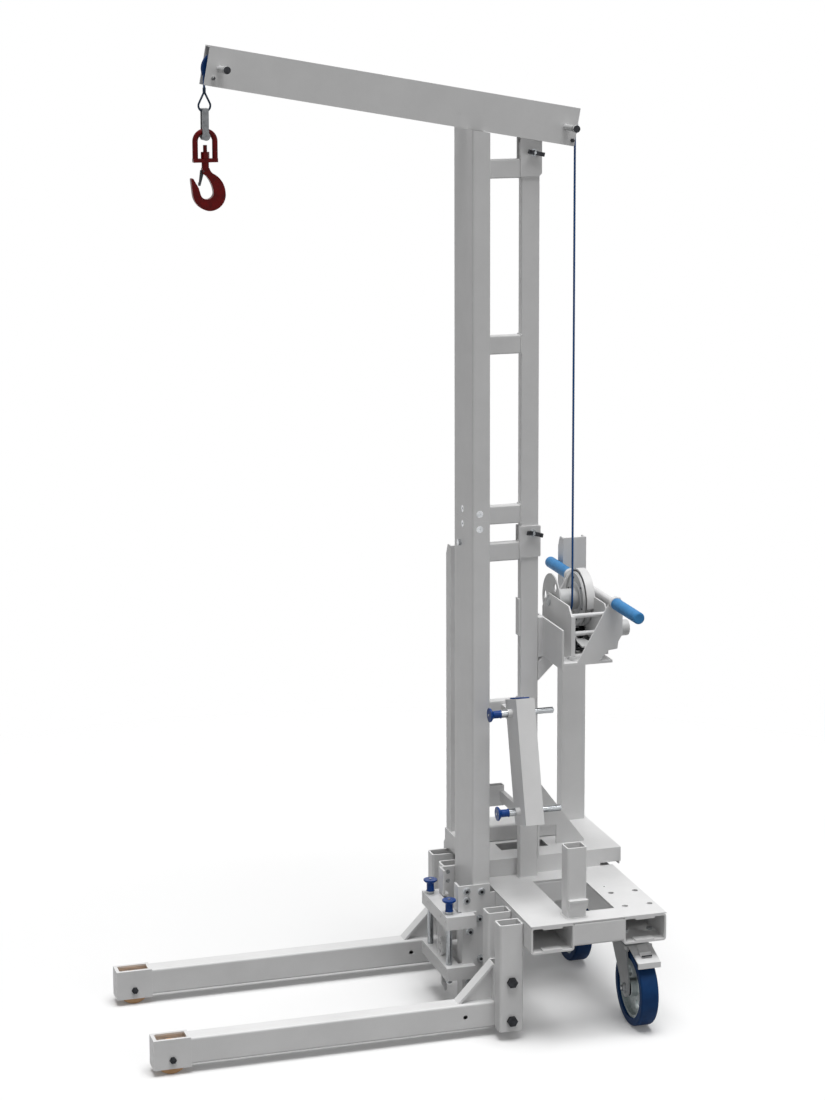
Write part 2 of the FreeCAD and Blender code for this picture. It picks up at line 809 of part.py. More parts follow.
def brake_pedal(side):
    """Foot pedal on the trailing side of the fork, on a pivot bar between its ears."""
    y = side * caster_y - pedal_pivot_y
    z = pedal_pivot_height
    outer = wheel_width / 2 + fork_clearance + fork_sheet
    bar = rod("x", caster_x - outer - pedal_bar_end, y, z, pedal_pivot_radius, 2 * (outer + pedal_bar_end))
    run = pedal_length * cos(radians(pedal_slope))
    drop = pedal_length * sin(radians(pedal_slope))
    half = pedal_width / 2
    inner_half = wheel_width / 2 + fork_clearance - 1
    tongue = box(caster_x - inner_half, caster_x + inner_half, y - pedal_tongue_depth, y,
                 z - pedal_tongue_drop, z + pedal_pivot_radius)
    under = z + pedal_pivot_radius
    heel = y - pedal_heel
    toe_under = under - drop
    toe_top = toe_under + pedal_thickness
    plate = plate_yz([(heel, under), (heel, under + pedal_thickness), (y - run, toe_top), (y - run, toe_under)],
                     caster_x - half, caster_x + half)
    lip = box(caster_x - half, caster_x + half, y - run - pedal_thickness, y - run,
              toe_top - pedal_lip_height, toe_top)
    pad_back = y - pedal_pad_inset
    pad_front = y - run + pedal_pad_inset
    pad = plate_yz([(pad_back, under + 1), (pad_back, under + pedal_pad_height),
                    (pad_front, toe_top + pedal_pad_height), (pad_front, toe_under + pedal_thickness - 1)],
                   caster_x - pedal_pad_half_width, caster_x + pedal_pad_half_width)
    return joined([bar, tongue, plate, lip, pad])


def wheel_tyre(side):
    axle_y = side * caster_y - caster_trail
    x0 = caster_x - wheel_width / 2
    ring = rod("x", x0, axle_y, axle_z, wheel_radius, wheel_width)
    rims = [e for e in ring.Edges if abs(e.Length - 2 * pi * wheel_radius) < 1]
    ring = ring.makeFillet(tyre_shoulder, rims)
    return ring.cut(rod("x", x0 - 1, axle_y, axle_z, wheel_radius - tyre_thickness, wheel_width + 2))


def wheel_rim(side):
    axle_y = side * caster_y - caster_trail
    outer = wheel_radius - tyre_thickness
    x0 = caster_x - rim_width / 2
    shell = rod("x", x0, axle_y, axle_z, outer, rim_width)
    pocket = outer - rim_shell
    for start in (x0 - 1, caster_x + rim_web / 2):
        shell = shell.cut(rod("x", start, axle_y, axle_z, pocket, (rim_width - rim_web) / 2 + 1))
    hub = rod("x", caster_x - wheel_width / 2, axle_y, axle_z, wheel_hub_radius, wheel_width)
    rim = joined([shell, hub])
    middle = (wheel_hub_radius + pocket) / 2
    for i in range(rim_window_count):
        angle = 2 * pi * (i + 0.5) / rim_window_count
        rim = rim.cut(rod("x", x0 - 1, axle_y + middle * cos(angle), axle_z + middle * sin(angle),
                          rim_window_radius, rim_width + 2))
    return rim.cut(rod("x", caster_x - wheel_width, axle_y, axle_z, wheel_bore_radius, 2 * wheel_width))


def boom_bottom_at(x):
    """Height of the boom's underside above the floor at a place along X."""
    return boom_front_z - (x - boom_front_x) * sin(radians(boom_angle)) / cos(radians(boom_angle))


def mast_section(z0, z1):
    return tube_along("z", mast_x, mast_rear_x, -mast_half_depth, mast_half_depth, z0, z1, mast_wall)


def joint_bolt_places():
    """Heights of the two screws on each face, one in each mast section."""
    return (mast_joint_z - joint_bolt_pitch / 2, mast_joint_z + joint_bolt_pitch / 2)


def countersunk_screws():
    """Countersunk screws of the mast joint, on the near, far and front faces."""
    screws = []
    length = mast_wall + spigot_wall
    cone = joint_bolt_head_height
    for z in joint_bolt_places():
        for x, y, dx, dy in (
            (joint_bolt_x, -mast_half_depth, 0, 1),
            (joint_bolt_x, mast_half_depth, 0, -1),
            (mast_x, 6.0, 1, 0),
        ):
            inward = Vector(dx, dy, 0)
            head = Part.makeCone(joint_bolt_head_radius, joint_bolt_radius, cone, Vector(x, y, z), inward)
            shank = Part.makeCylinder(joint_bolt_radius, length - cone, Vector(x, y, z) + inward * cone, inward)
            socket = Part.makeCylinder(joint_bolt_radius * 0.6, cone * 0.6, Vector(x, y, z), inward)
            screws.append(joined([head, shank]).cut(socket))
    return screws


def screw_spaces():
    """Tapered holes for the countersunk screws, through mast wall and spigot wall."""
    spaces = []
    for z in joint_bolt_places():
        for x, y, dx, dy in (
            (joint_bolt_x, -mast_half_depth, 0, 1),
            (joint_bolt_x, mast_half_depth, 0, -1),
            (mast_x, 6.0, 1, 0),
        ):
            inward = Vector(dx, dy, 0)
            spaces.append(Part.makeCone(joint_bolt_head_radius, joint_bolt_radius, joint_bolt_head_height,
                                        Vector(x, y, z), inward))
            spaces.append(Part.makeCylinder(joint_bolt_radius, mast_wall + spigot_wall,
                                            Vector(x, y, z), inward))
    return spaces


def mast_lower():
    body = mast_section(mast_bottom, mast_joint_z)
    hex_hole = rod("x", mast_x - 1, front_hex_y, front_hex_height, joint_bolt_radius, mast_wall + 2)
    boss_hole = rod("x", mast_x - 1, boss_y, boss_z, boss_bolt_radius, mast_wall + 2)
    return without(body, screw_spaces() + shoe_bolt_spaces() + [hex_hole, boss_hole])


def mast_upper():
    top = boom_bottom_at(mast_x) + 1
    body = mast_section(mast_joint_z, top)
    slope = radians(boom_angle)
    above = Part.makeBox(400, 400, 200, Vector(-100, -200, 0))
    above.rotate(Vector(0, 0, 0), Vector(0, 1, 0), degrees(slope))
    above.translate(Vector(mast_x, 0, boom_bottom_at(mast_x)))
    return without(body, screw_spaces() + [above])


def joint_spigot():
    gap = slip_gap
    inner = mast_wall + gap
    body = tube_along("z", mast_x + inner, mast_rear_x - inner, -mast_half_depth + inner, mast_half_depth - inner,
                      mast_joint_z - spigot_length / 2, mast_joint_z + spigot_length / 2, spigot_wall - gap)
    return without(body, screw_spaces())


def front_hex_bolt():
    head = hexagon("x", mast_x, front_hex_y, front_hex_height, joint_bolt_head_radius, -8)
    shank = rod("x", mast_x, front_hex_y, front_hex_height, joint_bolt_radius, mast_wall)
    return joined([head, shank])


def rear_tube(z0, z1):
    return tube_along("z", rear_tube_x, rear_tube_end_x, -rear_tube_half_depth, rear_tube_half_depth,
                      z0, z1, rear_tube_wall)


def rear_tube_lower():
    """Lower rear tube, which stands on the deck above the centre cross member."""
    return rear_tube(deck_top, rear_joint_z)


def rear_tube_upper():
    return rear_tube(rear_joint_z, boom_bottom_at(rear_tube_end_x) - bracket_sheet)


def ladder_rungs(tops):
    rungs = []
    for top in tops:
        rungs.append(tube_along("x", mast_rear_x, rear_tube_x, -rear_tube_half_depth, rear_tube_half_depth,
                                top - rung_height, top, rear_tube_wall))
    return rungs


def clamp_bracket(z0, z1, chamfer):
    """U-shaped clamp plate around the rear tube, open towards the ladder."""
    inner = rear_tube_half_depth + slip_gap
    outer = inner + bracket_sheet
    x0 = rear_tube_x - bracket_overhang
    x1 = rear_tube_end_x + slip_gap + bracket_sheet
    body = box(x0, x1, -outer, outer, z0, z1)
    hollow = box(x0 - 1, x1 - bracket_sheet, -inner, inner, z0 - 1, z1 + 1)
    body = body.cut(hollow)
    for z, direction in ((z0, -1), (z1, 1)):
        corner = plate_xz([(x1 - chamfer, z + direction), (x1 + 1, z + direction), (x1 + 1, z - direction * chamfer)],
                          -outer - 1, outer + 1)
        body = body.cut(corner)
    return body


def wing_hole(z):
    return rod("y", rear_tube_end_x - wing_bolt_inset, -rear_tube_half_depth, z, wing_bolt_radius + wing_bolt_gap,
               -bracket_sheet - slip_gap - 1)


def joint_bracket():
    return clamp_bracket(joint_bracket_bottom, joint_bracket_top, 3).cut(wing_hole(joint_wing_height))


def boom_bracket():
    """Clamp plate welded under the boom, cut to the boom's slope at its top."""
    top = boom_bottom_at(rear_tube_x - bracket_overhang) + 1
    body = clamp_bracket(boom_bracket_bottom, top, 0.5)
    above = Part.makeBox(300, 200, 100, Vector(-50, -100, 0))
    above.rotate(Vector(0, 0, 0), Vector(0, 1, 0), boom_angle)
    above.translate(Vector(rear_tube_x, 0, boom_bottom_at(rear_tube_x)))
    x1 = rear_tube_end_x + slip_gap + bracket_sheet
    corner = plate_xz([(x1 - boom_bracket_chamfer, boom_bracket_bottom - 1), (x1 + 1, boom_bracket_bottom - 1),
                       (x1 + 1, boom_bracket_bottom + boom_bracket_chamfer)], -100, 100)
    return without(body, [above, corner, wing_hole(boom_wing_height)])


def wing_bolt(z):
    """Screw with two wings that clamps the rear tube in its bracket."""
    x = rear_tube_end_x - wing_bolt_inset
    tube_face = -rear_tube_half_depth - bearing_gap
    plate_face = -rear_tube_half_depth - slip_gap - bracket_sheet - bearing_gap
    shank = rod("y", x, tube_face, z, wing_bolt_radius, plate_face - tube_face)
    hub = rod("y", x, plate_face, z, wing_hub_radius, -wing_hub_height)
    wings = []
    for direction in (-1, 1):
        tip = x + direction * wing_span / 2
        hub_end = plate_face - wing_hub_height
        outline = [Vector(x, plate_face - wing_root, 0), Vector(tip, hub_end - wing_rise, 0),
                   Vector(tip, hub_end - wing_rise - wing_tip_depth, 0),
                   Vector(x, hub_end, 0), Vector(x, plate_face - wing_root, 0)]
        wing = Part.Face(Part.makePolygon(outline)).extrude(Vector(0, 0, wing_height))
        wing.translate(Vector(0, 0, z - wing_height / 2))
        wings.append(wing)
    bolt = joined([shank, hub] + wings)
    bolt.rotate(Vector(x, 0, z), Vector(0, 1, 0), -wing_rest_angle)
    return bolt


def shoe_bolt_spaces():
    reach = mast_half_depth + shoe_sheet + 1
    return [rod("y", x, -reach, z, shoe_bolt_radius, 2 * reach) for x, z in shoe_bolt_places + side_bolt_places]


def mast_shoe():
    """Near and far halves of the mast shoe: a side plate with folded front edges, tied to the base."""
    y0 = mast_half_depth
    y1 = y0 + shoe_sheet
    lower = box(shoe_front, shoe_rear, y0, y1, shoe_bottom, shoe_step)
    step_front = shoe_front - shoe_step_depth
    upper = box(step_front, shoe_rear, y0, y1, shoe_step, shoe_top)
    lower_fold = box(shoe_front, shoe_front + shoe_sheet, y1 - shoe_fold_width, y1, shoe_bottom, shoe_step)
    upper_fold = box(step_front, step_front + shoe_sheet, y1 - shoe_fold_width, y1, shoe_step, shoe_top)
    shelf = box(step_front, shoe_front + shoe_sheet, y1 - shoe_fold_width, y1,
                shoe_step, shoe_step + shoe_sheet)
    tie = box(shoe_rear, base_front, y0, y1, base_bottom, tray_bottom)
    side = without(joined([lower, upper, lower_fold, upper_fold, shelf, tie]), shoe_bolt_spaces())
    return [side, mirrored(side)]


def shoe_bolts():
    """Round-head screws of the shoe, and of the yoke's side plates on the shoe."""
    bolts = []
    shoe_face = mast_half_depth + shoe_sheet
    for places, face in ((shoe_bolt_places, shoe_face), (side_bolt_places, shoe_face + yoke_side_sheet)):
        for x, z in places:
            for side in (-1, 1):
                inner = mast_half_depth - (mast_wall if x - shoe_bolt_radius > mast_x else 0)
                shank = rod("y", x, side * inner, z, shoe_bolt_radius, side * (face - inner))
                head = rod("y", x, side * face, z, shoe_bolt_head_radius, side * shoe_bolt_head_height)
                bolts.append(joined([shank, head]))
    return bolts


def yoke_frame():
    """Two thick plates, U-shaped in plan, on the side plates that are screwed to the mast shoe."""
    inner = mast_half_depth + shoe_sheet
    arm = inner + yoke_side_sheet
    pieces = []
    for z0 in (yoke_lower_z, yoke_upper_z):
        z1 = z0 + yoke_thickness
        plate = box(yoke_front, yoke_arm_rear, -yoke_half_width, yoke_half_width, z0, z1)
        behind_bar = box(yoke_front + yoke_bar_depth, yoke_arm_rear + 1, -inner, inner, z0 - 1, z1 + 1)
        holes = [behind_bar]
        for side in (-1, 1):
            holes.append(rod("z", yoke_pin_x, side * yoke_pin_y, z0 - 1, pin_radius + pin_running_gap,
                             yoke_thickness + 2))
            for inset in (yoke_hole_inset, yoke_inner_hole_inset):
                holes.append(rod("x", yoke_front - 1, side * (yoke_half_width - inset), z0 + yoke_hole_rise,
                                 yoke_hole_radius, yoke_hole_depth))
        pieces.append(without(plate, holes))
    spaces = []
    for x, z in side_bolt_places:
        spaces.append(rod("y", x, -arm - 1, z, shoe_bolt_radius, 2 * arm + 2))
    for side in (-1, 1):
        y0, y1 = sorted((side * inner, side * arm))
        pieces.append(box(yoke_side_front, yoke_side_rear, y0, y1,
                          yoke_side_bottom, yoke_upper_z + yoke_thickness))
    catch_tip_z = yoke_lower_z - catch_drop
    catch = plate_xz([
        (yoke_front, yoke_lower_z), (yoke_front, yoke_lower_z - catch_shoulder),
        (yoke_front + catch_tip_shift, catch_tip_z), (yoke_front + catch_width, catch_tip_z + catch_tip_rise),
        (yoke_front + catch_width, yoke_lower_z),
    ], catch_y, catch_y + catch_sheet)
    return without(joined(pieces + [catch]), spaces)


def yoke_boss():
    """Round stop on a stub bolt in the front face of the mast, between the yoke plates."""
    tip = yoke_front + boss_setback
    bolt = rod("x", tip + boss_recess, boss_y, boss_z, boss_bolt_radius, mast_x + mast_wall - tip - boss_recess)
    disc = rod("x", tip, boss_y, boss_z, boss_radius, boss_thickness)
    collar = rod("x", tip + boss_thickness, boss_y, boss_z, boss_collar_radius, mast_x - tip - boss_thickness)
    recess = rod("x", tip - 1, boss_y, boss_z, boss_radius - boss_rim, boss_recess + 1)
    head = rod("x", tip, boss_y, boss_z, boss_bolt_radius, boss_recess)
    return joined([joined([bolt, disc, collar]).cut(recess), head])


def lock_pin(length, collar_length):
    """Lock pin along -Z from its stop collar, which rests just above z = 0."""
    shank = rod("z", 0, 0, -length, pin_radius, length + bearing_gap)
    tip = Part.makeSphere(pin_radius / 2, Vector(0, 0, -length))
    collar = rod("z", 0, 0, bearing_gap, pin_collar_radius, collar_length)
    z0 = bearing_gap + collar_length
    waist_end = z0 + knob_length - knob_rim_length - knob_flare_length
    foot = Part.makeCone(knob_foot_radius, knob_waist_radius, knob_flare_length / 2, Vector(0, 0, z0))
    waist = rod("z", 0, 0, z0, knob_waist_radius, waist_end - z0)
    flare = Part.makeCone(knob_waist_radius, knob_radius, knob_flare_length, Vector(0, 0, waist_end))
    rim = rod("z", 0, 0, waist_end + knob_flare_length, knob_radius, knob_rim_length)
    pin = joined([shank, tip, collar, foot, waist, flare, rim])
    bore = rod("z", 0, 0, z0 + knob_length - button_depth, button_radius + pin_running_gap, button_depth + 1)
    return pin.cut(bore)


def pin_button(collar_length):
    """Release button in the head of a lock pin."""
    head = bearing_gap + collar_length + knob_length
    start = head - button_depth + button_travel + bearing_gap
    return rod("z", 0, 0, start, button_radius, button_length)


def at_yoke(shape, side):
    """Place a pin or its button in one of the yoke's holes."""
    shape.translate(Vector(yoke_pin_x, side * yoke_pin_y, yoke_upper_z + yoke_thickness))
    return shape


def yoke_pin(side):
    length = yoke_upper_z + yoke_thickness - yoke_lower_z + yoke_pin_tip
    return at_yoke(lock_pin(length, yoke_collar_length), side)


def rack_axis():
    """Unit vector along the leaning rack tube, upwards and away from the near side."""
    lean = radians(rack_lean)
    return Vector(0, sin(lean), cos(lean))


def rack_inward():
    """Unit vector across the rack tube, from its near face to its far face."""
    lean = radians(rack_lean)
    return Vector(0, cos(lean), -sin(lean))


def rack_top_near():
    """Middle of the near top edge of the rack tube."""
    pin = Vector(rack_x + rack_width / 2, rack_pin_y, rack_pin_z)
    return pin + rack_axis() * rack_pin_above - rack_inward() * rack_depth / 2


def leaning(shape):
    """Tilt a shape built about the rack's top near edge into the leaning position."""
    shape.rotate(Vector(0, 0, 0), Vector(1, 0, 0), -rack_lean)
    shape.translate(rack_top_near())
    return shape


def rack_pin_centres():
    pin = Vector(rack_x, rack_pin_y, rack_pin_z)
    return [pin, pin - rack_axis() * rack_pin_pitch]


def pin_rack():
    """Leaning tube with two cross bushes, a plug for the spare pins and two brackets to the ladder."""
    half = rack_width / 2
    tube = box(-half, half, 0, rack_depth, -rack_length, 0)
    hollow = box(-half + rack_wall, half - rack_wall, rack_wall, rack_depth - rack_wall, -rack_length - 1, 1)
    plug = box(-half + rack_wall, half - rack_wall, rack_wall, rack_depth - rack_wall,
               -rack_plug_depth - rack_plug_thickness, -rack_plug_depth)
    body = joined([tube.cut(hollow), plug])
    for y in spare_pin_depths():
        body = body.cut(rod("z", 0, y, -rack_plug_depth - rack_plug_thickness - 1, pin_radius + pin_running_gap,
                            rack_plug_thickness + 2))
    body = leaning(body)
    bosses = []
    holes = []
    for centre in rack_pin_centres():
        bosses.append(rod("x", centre.x, centre.y, centre.z, rack_boss_radius, -rack_boss_length))
        holes.append(rod("x", centre.x - rack_boss_length - 1, centre.y, centre.z, pin_radius + pin_running_gap,
                         rack_width + rack_boss_length + 2))
    body = without(joined([body] + bosses), holes)
    return body


def rack_brackets():
    """Short bars that carry the rack from the ladder rung and from the foot rung."""
    bars = []
    far_face = rack_top_near() + rack_inward() * rack_depth
    lean = radians(rack_lean)
    end_x = rack_x + rack_width
    for z, x0, x1 in (
        (lower_rung_tops[1] - rung_height / 2, rack_x + rack_bar_inset, end_x - rack_bar_inset),
        (foot_rung_top - foot_rung_height / 2, rack_x + rack_foot_bar_start, rack_x + rack_foot_bar_end),
    ):
        y_face = far_face.y - (far_face.z - z) * sin(lean) / cos(lean)
        bar = box(x0, x1, y_face - rack_depth / 2, -rear_tube_half_depth,
                  z - rack_bar_height / 2, z + rack_bar_height / 2)
        cutter = leaning(box(-rack_width, rack_width, -rack_depth, rack_depth, -2 * rack_length, rack_length))
        bars.append(bar.cut(cutter))
    return bars


def foot_rung():
    """Short strap behind the mast, bent round the foot of the rack's lower bracket."""
    return tube_along("z", mast_rear_x, mast_rear_x + foot_rung_length, -rear_tube_half_depth, rear_tube_half_depth,
                      foot_rung_top - foot_rung_height, foot_rung_top, rear_tube_wall)


def at_rack(shape, index):
    """Place a pin or its button across the rack, its knob towards the leg side."""
    centre = rack_pin_centres()[index]
    shape.rotate(Vector(0, 0, 0), Vector(0, 1, 0), -90)
    shape.translate(Vector(centre.x - rack_boss_length, centre.y, centre.z))
    return shape


def rack_pin(index):
    return at_rack(lock_pin(rack_boss_length + rack_width + rack_pin_reach, rack_collar_length), index)


def spare_pin_depths():
    middle = rack_depth / 2
    return (middle - spare_pin_spacing / 2, middle + spare_pin_spacing / 2)


def at_plug(shape, index):
    """Place a pin or its button in the plug in the rack's open top."""
    shape.translate(Vector(0, spare_pin_depths()[index], -rack_plug_depth))
    return leaning(shape)


def spare_pin(index):
    return at_plug(lock_pin(spare_pin_length, yoke_collar_length), index)


def stub_socket():
    x1 = stub_x + stub_width
    y1 = stub_near_edge + stub_depth
    tube = tube_along("z", stub_x, x1, stub_near_edge, y1, deck_top, deck_top + stub_height, stub_wall)
    ledge = plate_yz([(stub_near_edge, deck_top + stub_ledge_height), (stub_near_edge, deck_top + 20),
                      (stub_near_edge - stub_ledge_reach, deck_top + stub_ledge_height - 12),
                      (stub_near_edge - stub_ledge_reach, deck_top + stub_ledge_height)], stub_x + 3, x1)
    return joined([tube, ledge])


def along_boom(shape):
    """Move a shape from the boom's own axes, origin at its lower front edge, into place."""
    shape.rotate(Vector(0, 0, 0), Vector(0, 1, 0), boom_angle)
    shape.translate(Vector(boom_front_x, 0, boom_front_z))
    return shape


def axle_centre(x):
    """Sheave axle at a place along X, at its set distance above the boom's underside."""
    a = radians(boom_angle)
    return Vector(x, 0, boom_bottom_at(x) + sheave_axle_from_edge / cos(a))


def boom():
    w = boom_half_width
    body = box(0, boom_length, -w, w, 0, boom_height)
    hollow = box(-1, boom_length + 1, -w + boom_wall, w - boom_wall, boom_wall, boom_height - boom_wall)
    inner = w - boom_wall
    front_mouth = box(-1, boom_mouth_length, -inner, inner, -1, boom_wall + 1)
    rear_mouth = box(boom_length - boom_mouth_length, boom_length + 1, -inner, inner, -1, boom_wall + 1)
    body = along_boom(without(body, [hollow, front_mouth, rear_mouth]))
    holes = []
    for x in (front_axle_x, rear_axle_x):
        centre = axle_centre(x)
        holes.append(rod("y", x, -w - 1, centre.z, sheave_axle_radius, 2 * w + 2))
    for centre in cheek_bolt_places():
        holes.append(rod("y", centre.x, -w - 1, centre.z, cheek_bolt_radius, boom_wall + 2))
    return without(body, holes)


def cheek_bolt_places():
    """Places of the small bolts in the near wall, below each sheave axle."""
    front = axle_centre(front_axle_x) + Vector(-cheek_bolt_shift, 0, -cheek_bolt_drop)
    rear = axle_centre(rear_axle_x) + Vector(cheek_bolt_shift, 0, -cheek_bolt_drop - cheek_bolt_rear_step)
    return [front, rear]


def sheave(x):
    centre = axle_centre(x)
    half = sheave_width / 2
    profile = [Vector(sheave_bore_radius, -half, 0), Vector(sheave_rim_radius, -half, 0),
               Vector(sheave_rim_radius, -half + sheave_lip, 0), Vector(sheave_groove_radius, -rope_radius * 0.9, 0),
               Vector(sheave_groove_radius, rope_radius * 0.9, 0), Vector(sheave_rim_radius, half - sheave_lip, 0),
               Vector(sheave_rim_radius, half, 0), Vector(sheave_bore_radius, half, 0),
               Vector(sheave_bore_radius, -half, 0)]
    disc = Part.Face(Part.makePolygon(profile)).revolve(Vector(0, 0, 0), Vector(0, 1, 0), 360)
    disc.translate(centre)
    return disc


def boom_pins():
    """Sheave axles with end caps and spacers, and the small bolts of the near wall."""
    w = boom_half_width
    half = sheave_width / 2 + bearing_gap
    pieces = []
    for x in (front_axle_x, rear_axle_x):
        c = axle_centre(x)
        axle = rod("y", x, -w - axle_reach, c.z, sheave_axle_radius, 2 * w + axle_reach + axle_far_reach)
        cap = rod("y", x, -w - axle_reach, c.z, sheave_axle_radius + axle_cap_step, axle_cap_length)
        clip = rod("y", x, -w - axle_reach + axle_cap_length + 3, c.z, sheave_axle_radius + axle_cap_step, 2)
        head = rod("y", x, w, c.z, sheave_axle_radius + axle_head_step, axle_far_reach)
        near_spacer = rod("y", x, -w + boom_wall, c.z, sheave_axle_radius + spacer_step, w - boom_wall - half)
        far_spacer = rod("y", x, half, c.z, sheave_axle_radius + spacer_step, w - boom_wall - half)
        pieces.append(joined([axle, cap, clip, head, near_spacer, far_spacer]))
    for c in cheek_bolt_places():
        bolt = rod("y", c.x, -w - cheek_bolt_reach, c.z, cheek_bolt_radius, cheek_bolt_length)
        head = hexagon("y", c.x, -w - cheek_nut_height, c.z, cheek_bolt_radius + cheek_nut_step, cheek_nut_height)
        nut = hexagon("y", c.x, -w + boom_wall, c.z, cheek_bolt_radius + cheek_nut_step, cheek_nut_height)
        pieces.append(joined([bolt, head, nut]))
    return pieces


def swept(edges, radius, direction):
    """Round bar or rope along straight runs and tangent arcs, direction is the path's at its start."""
    path = Part.Wire(edges)
    start = path.OrderedVertexes[0].Point
    circle = Part.Wire(Part.makeCircle(radius, start, direction))
    return path.makePipeShell([circle], True, False)


def line(a, b):
    return Part.LineSegment(a, b).toShape()


def arc(a, middle, b):
    return Part.Arc(a, middle, b).toShape()


def on_sheave(centre, angle):
    """Point of the rope's centre line on a sheave, angle in degrees from +X towards +Z."""
    return centre + Vector(cos(radians(angle)), 0, sin(radians(angle))) * rope_line_radius


def rope():
    """Rope from the front sheave through the boom, over the rear sheave and a quarter round the drum."""
    front = axle_centre(front_axle_x)
    rear = axle_centre(rear_axle_x)
    top = 90 - boom_angle
    drop = on_sheave(rear, 0)
    wrap = drum_y
    drum_side = Vector(drop.x, 0, drum_z)
    drum_middle = Vector(drop.x, drum_y - wrap * cos(pi / 4), drum_z - wrap * sin(pi / 4))
    drum_bottom = Vector(drop.x, drum_y, drum_z - wrap)
    return swept([
        arc(on_sheave(front, 180), on_sheave(front, (180 + top) / 2), on_sheave(front, top)),
        line(on_sheave(front, top), on_sheave(rear, top)),
        arc(on_sheave(rear, top), on_sheave(rear, top / 2), drop),
        line(drop, drum_side),
        arc(drum_side, drum_middle, drum_bottom),
    ], rope_radius, Vector(0, 0, 1))


def rope_drop():
    """The hanging end of the rope, between the front sheave and the rope eye."""
    top = on_sheave(axle_centre(front_axle_x), 180)
    return rod("z", top.x, 0, top.z, rope_radius, -eye_drop)


def hook_line():
    """Bottom end of the rope drop, where the rope eye starts."""
    return on_sheave(axle_centre(front_axle_x), 180) - Vector(0, 0, eye_drop)


def rope_eye():
    """Eye at the rope's end: a ferrule and a drop-shaped loop of rope."""
    top = hook_line()
    ferrule = rod("z", top.x, 0, top.z - ferrule_length, rope_radius + 1, ferrule_length)
    side = eye_half_width - eye_rope_radius
    centre = Vector(top.x, 0, top.z - eye_length + eye_half_width)
    apex = Vector(top.x, 0, top.z - ferrule_length + 2)
    half_angle = asin(side / (apex.z - centre.z))
    left = centre + Vector(-side * cos(half_angle), 0, side * sin(half_angle))
    right = centre + Vector(side * cos(half_angle), 0, side * sin(half_angle))
    bottom = centre - Vector(0, 0, side)
    loop = swept([line(apex, left), arc(left, bottom, right)], eye_rope_radius, left - apex)
    closing = swept([line(right, apex)], eye_rope_radius, apex - right)
    return joined([ferrule, loop, closing])


def shackle_pin_z():
    return hook_line().z - eye_length + 2 * eye_rope_radius + shackle_bridge - shackle_pin_drop


def shackle():
    """Flat strap over the bottom of the rope eye, with the pin that carries the bail."""
    x = hook_line().x
    pin_z = shackle_pin_z()
    top = pin_z + shackle_pin_drop
    outer = shackle_half_gap + shackle_sheet
    strap = box(x - shackle_half_width, x + shackle_half_width, -outer, outer, pin_z - shackle_foot, top)
    gap = box(x - shackle_half_width - 1, x + shackle_half_width + 1, -shackle_half_gap, shackle_half_gap,
              pin_z - shackle_foot - 1, top - shackle_bridge + bearing_gap)
    loop_z = hook_line().z - eye_length + eye_half_width
    loop_outer = rod("y", x, -shackle_half_gap, loop_z, eye_half_width + bearing_gap, 2 * shackle_half_gap)
    loop_inner = rod("y", x, -outer, loop_z, eye_half_width - 2 * eye_rope_radius - bearing_gap, 2 * outer)
    gap = gap.fuse(loop_outer.cut(loop_inner))
    pin = rod("y", x, -outer, pin_z, shackle_pin_radius, 2 * outer)
    heads = [rod("y", x, y, pin_z, shackle_head_radius, shackle_head_height)
             for y in (-outer - shackle_head_height, outer)]
    return joined([strap.cut(gap), pin] + heads)


def bail_top():
    """Height of the middle of the bail's crown, which hangs on the shackle pin."""
    return shackle_pin_z() + shackle_pin_radius + bearing_gap + bail_section_radius


def bail_bottom():
    return bail_top() + bail_section_radius - bail_height


def bail():
    """Round-bar bail on a cross plate, with the bearing bore for the hook's shank."""
    x = hook_line().x
    r = bail_section_radius
    side = bail_half_width - r
    centre = Vector(x, 0, bail_top() - side)
    foot = bail_bottom() + bail_plate_height / 2
    left = centre - Vector(side, 0, 0)
    right = centre + Vector(side, 0, 0)
    foot_left = Vector(left.x, 0, foot)
    foot_right = Vector(right.x, 0, foot)
    crown = centre + Vector(0, 0, side)
    bar = swept([line(foot_left, left), arc(left, crown, right), line(right, foot_right)], r, Vector(0, 0, 1))
    bottom = bail_bottom()
    plate = box(x - bail_half_width + 1, x + bail_half_width - 1, -bail_plate_half_depth, bail_plate_half_depth,
                bottom, bottom + bail_plate_height)
    bore = rod("z", x, 0, bottom - 1, stud_radius + shaft_running_gap, bail_plate_height + 2)
    return joined([bar, plate]).cut(bore)


